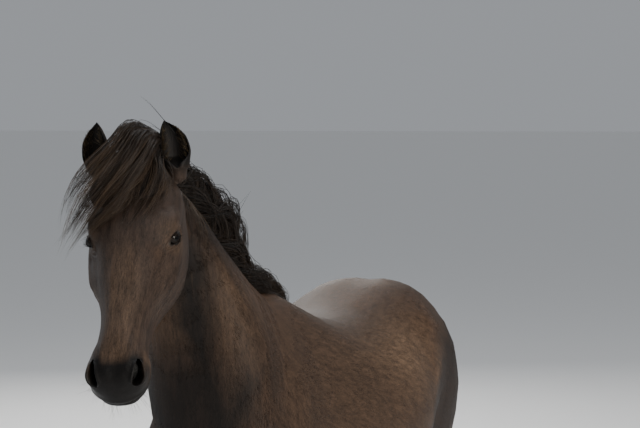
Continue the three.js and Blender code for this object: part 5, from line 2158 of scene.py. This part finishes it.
@dataclass(frozen=True)
class SkinFinish(Finish):
    """The skin's finish: the coat's, with glossier, pebbled skin where it is bare."""

    lie: Grain = Grain.LAIN
    bare_rough: float = 0.42
    pebbles: float = 900.0

    def make(self, grain: NodeTree) -> Material:
        """Returns the finish as a material."""
        material = super().make(grain)
        nodes = Nodes(material.node_tree)
        shader = material.node_tree.nodes["Principled BSDF"]
        bump = next(n for n in material.node_tree.nodes if n.bl_idname == "ShaderNodeBump")
        rough = shader.inputs["Roughness"].links[0].from_socket
        streaks = bump.inputs["Height"].links[0].from_socket
        bare = nodes.add("ShaderNodeAttribute", attribute_name="bare").outputs["Fac"]
        place = nodes.add("ShaderNodeTexCoord").outputs["Object"]
        cells = {"Vector": place, "Scale": self.pebbles}
        pebbles = nodes.add("ShaderNodeTexVoronoi", cells, feature="SMOOTH_F1")
        raised = nodes.math("MULTIPLY", pebbles.outputs["Distance"], 0.35)
        nodes.fill(shader, {"Roughness": nodes.blend(bare, rough, self.bare_rough)})
        nodes.fill(bump, {"Height": nodes.blend(bare, streaks, raised)})
        return material


COAT_FINISH = Finish("coat_hair", rough=(0.45, 0.6), specular=0.16, contrast=0.2, bump=0.0,
                     grain=(1400.0, 0.3, 0.4))
SKIN_FINISH = SkinFinish("coat_skin", rough=(0.5, 0.68), specular=0.16, contrast=0.6, bump=0.0012,
                         grain=(420.0, 0.12, 0.25))
LONG_FINISH = Finish("long_hair", rough=(0.34, 0.5), specular=0.25, contrast=0.25, bump=0.0,
                     grain=(1200.0, 0.25, 0.3))
CORE_FINISH = Finish("hair_mass", rough=(0.6, 0.8), specular=0.1, contrast=0.6, bump=0.002,
                     grain=(420.0, 0.12, 0.1))
EYE_FINISH = Finish("eye_wet", rough=(0.6, 0.7), specular=0.02, contrast=0.1, bump=0.0, coat=0.3,
                    grain=(300.0, 1.0, 0.5))
HORN_FINISH = Finish("hoof_horn", rough=(0.5, 0.72), specular=0.3, contrast=0.45, bump=0.0008,
                     grain=(260.0, 0.12, 0.3))


# The stage

@dataclass(frozen=True)
class Viewpoint:
    """The camera: its place on the body's axes, its bearing, how far it looks down, and its lens."""

    place: tuple = (1584.6, -3911.6, 1786.7)
    bearing: float = 21.805
    down: float = 3.2256
    lens: float = 88.55

    def build(self) -> None:
        """Puts the camera in the scene."""
        data = bpy.data.cameras.new("camera")
        data.lens, data.sensor_width = self.lens, 36.0
        data.clip_end = 2000.0
        camera = bpy.data.objects.new("camera", data)
        camera.location = (np.array(self.place) + SHIFT) * MM
        camera.rotation_euler = (math.radians(90 - self.down), 0, math.radians(self.bearing))
        bpy.context.scene.collection.objects.link(camera)
        bpy.context.scene.camera = camera


@dataclass(frozen=True)
class Lamp:
    """A soft lamp: its place in metres, what it points at, its size and its strength."""

    name: str
    place: tuple
    size: float
    power: float
    colour: tuple = (1.0, 1.0, 1.0)
    target: tuple = (0.0, -0.3, 1.1)

    def build(self) -> None:
        """Puts the lamp in the scene."""
        data = bpy.data.lights.new(self.name, "AREA")
        data.shape, data.size, data.energy, data.color = "DISK", self.size, self.power, self.colour
        lamp = bpy.data.objects.new(self.name, data)
        lamp.location = self.place
        aim = Vector(self.target) - Vector(self.place)
        lamp.rotation_euler = aim.to_track_quat("-Z", "Y").to_euler()
        bpy.context.scene.collection.objects.link(lamp)


@dataclass
class Studio:
    """The plain pale floor and the soft light."""

    floor_size: float = 900.0
    lamps: tuple = (
        Lamp("sky", (-0.4, 0.6, 6.4), 5.0, 230.0, (0.92, 0.96, 1.0)),
        Lamp("front", (6.2, -4.2, 3.4), 3.2, 560.0, (1.0, 0.94, 0.86)),
        Lamp("side", (-5.6, 0.6, 3.4), 3.6, 80.0, (0.97, 0.97, 1.0)),
        Lamp("rear", (-3.0, 5.4, 3.6), 3.4, 150.0, (1.0, 0.97, 0.93)))

    def build(self) -> None:
        """Puts the floor, the lamps and the surrounding light in the scene."""
        form = bmesh.new()
        bmesh.ops.create_grid(form, x_segments=1, y_segments=1, size=self.floor_size / 2)
        floor = new_piece("floor", mesh_of("floor", form))
        material = bpy.data.materials.new("floor_paint")
        material.use_nodes = True
        shader = material.node_tree.nodes["Principled BSDF"]
        shader.inputs["Base Color"].default_value = (0.90, 0.90, 0.89, 1.0)
        shader.inputs["Roughness"].default_value = 0.85
        floor.data.materials.append(material)
        world = bpy.data.worlds.new("room")
        bpy.context.scene.world = world
        world.use_nodes = True
        background = world.node_tree.nodes["Background"]
        background.inputs["Color"].default_value = (0.90, 0.94, 1.0, 1.0)
        background.inputs["Strength"].default_value = 0.36
        for lamp in self.lamps:
            lamp.build()


# The whole horse

# How far long hair stays above the skin.
HAIR_CLEARANCE = 3.0


@dataclass
class Horse:
    """The horse, put together piece by piece."""

    finishes: dict = field(default_factory=dict)
    grains: dict = field(default_factory=dict)

    def dress(self, piece: Object, finish: Finish, slot: Slot, *nodes: str) -> None:
        """Gives a piece its finish and body, and hides the CAD nodes that it stands for.

        Args:
            piece: the piece.
            finish: what it is finished with.
            slot: not used.
            nodes: the CAD nodes that it replaces.
        """
        if finish.name not in self.finishes:
            self.finishes[finish.name] = finish.make(self.grains[finish.lie])
        piece.data.materials.clear()
        piece.data.materials.append(self.finishes[finish.name])
        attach(piece, "root")
        if nodes:
            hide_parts(*nodes)
        piece.data.calc_loop_triangles()
        log.info("%s: %d triangles", piece.name, len(piece.data.loop_triangles))

    def build(self) -> None:
        """Builds and dresses every piece."""
        self.grains = {Grain.FINE: grain_group(), Grain.LAIN: lain_grain_group()}
        skin = Skin().build()
        points = points_of(skin.data)
        paint(skin.data, "coat", COLOURS.at(points))
        paint(skin.data, "lie", lie_of(points))
        paint(skin.data, "bare", bare_skin(points))
        self.dress(skin, SKIN_FINISH, Slot.COAT, *FLESH_NODES)
        grown = SkinField(skin.data)
        for kind in TUFT_KINDS:
            self.dress(Coat(grown).build(kind), COAT_FINISH, Slot.COAT)
        for side in Side:
            self.dress(Eye(side).build(), EYE_FINISH, Slot.EYE, f"eye_{side.name.lower()}")
        for name, leg in LEGS.items():
            node = name.replace("leg", "hoof")
            self.dress(Hoof(node, leg).build(), HORN_FINISH, Slot.HORN, node)
        for hair in LONG_HAIR:
            if hair.cored:
                core = hair.core()
                # the core takes the darkest hair colour, darkened further as painted shade deep in the hair
                paint(core.data, "coat", np.tile(np.array(hair.dark) * 0.8, (len(core.data.vertices), 1)))
                self.dress(core, CORE_FINISH, Slot.HAIR, hair.node)
            piece = new_piece(hair.name, hair.strands(grown, HAIR_CLEARANCE).mesh(hair.name))
            self.dress(piece, LONG_FINISH, Slot.HAIR, hair.node)
        fine = FineHair(grown, LONG_HAIR[0].stations)
        for piece in (fine.ears(), fine.lashes(), fine.whiskers(), fine.loose()):
            self.dress(piece, LONG_FINISH, Slot.HAIR)


def main() -> None:
    """Builds the camera, the studio and the horse."""
    logging.basicConfig(level=logging.INFO, format="%(relativeCreated)d %(name)s %(message)s")
    Viewpoint().build()
    Studio().build()
    Horse().build()


if __name__ == "__main__":
    main()
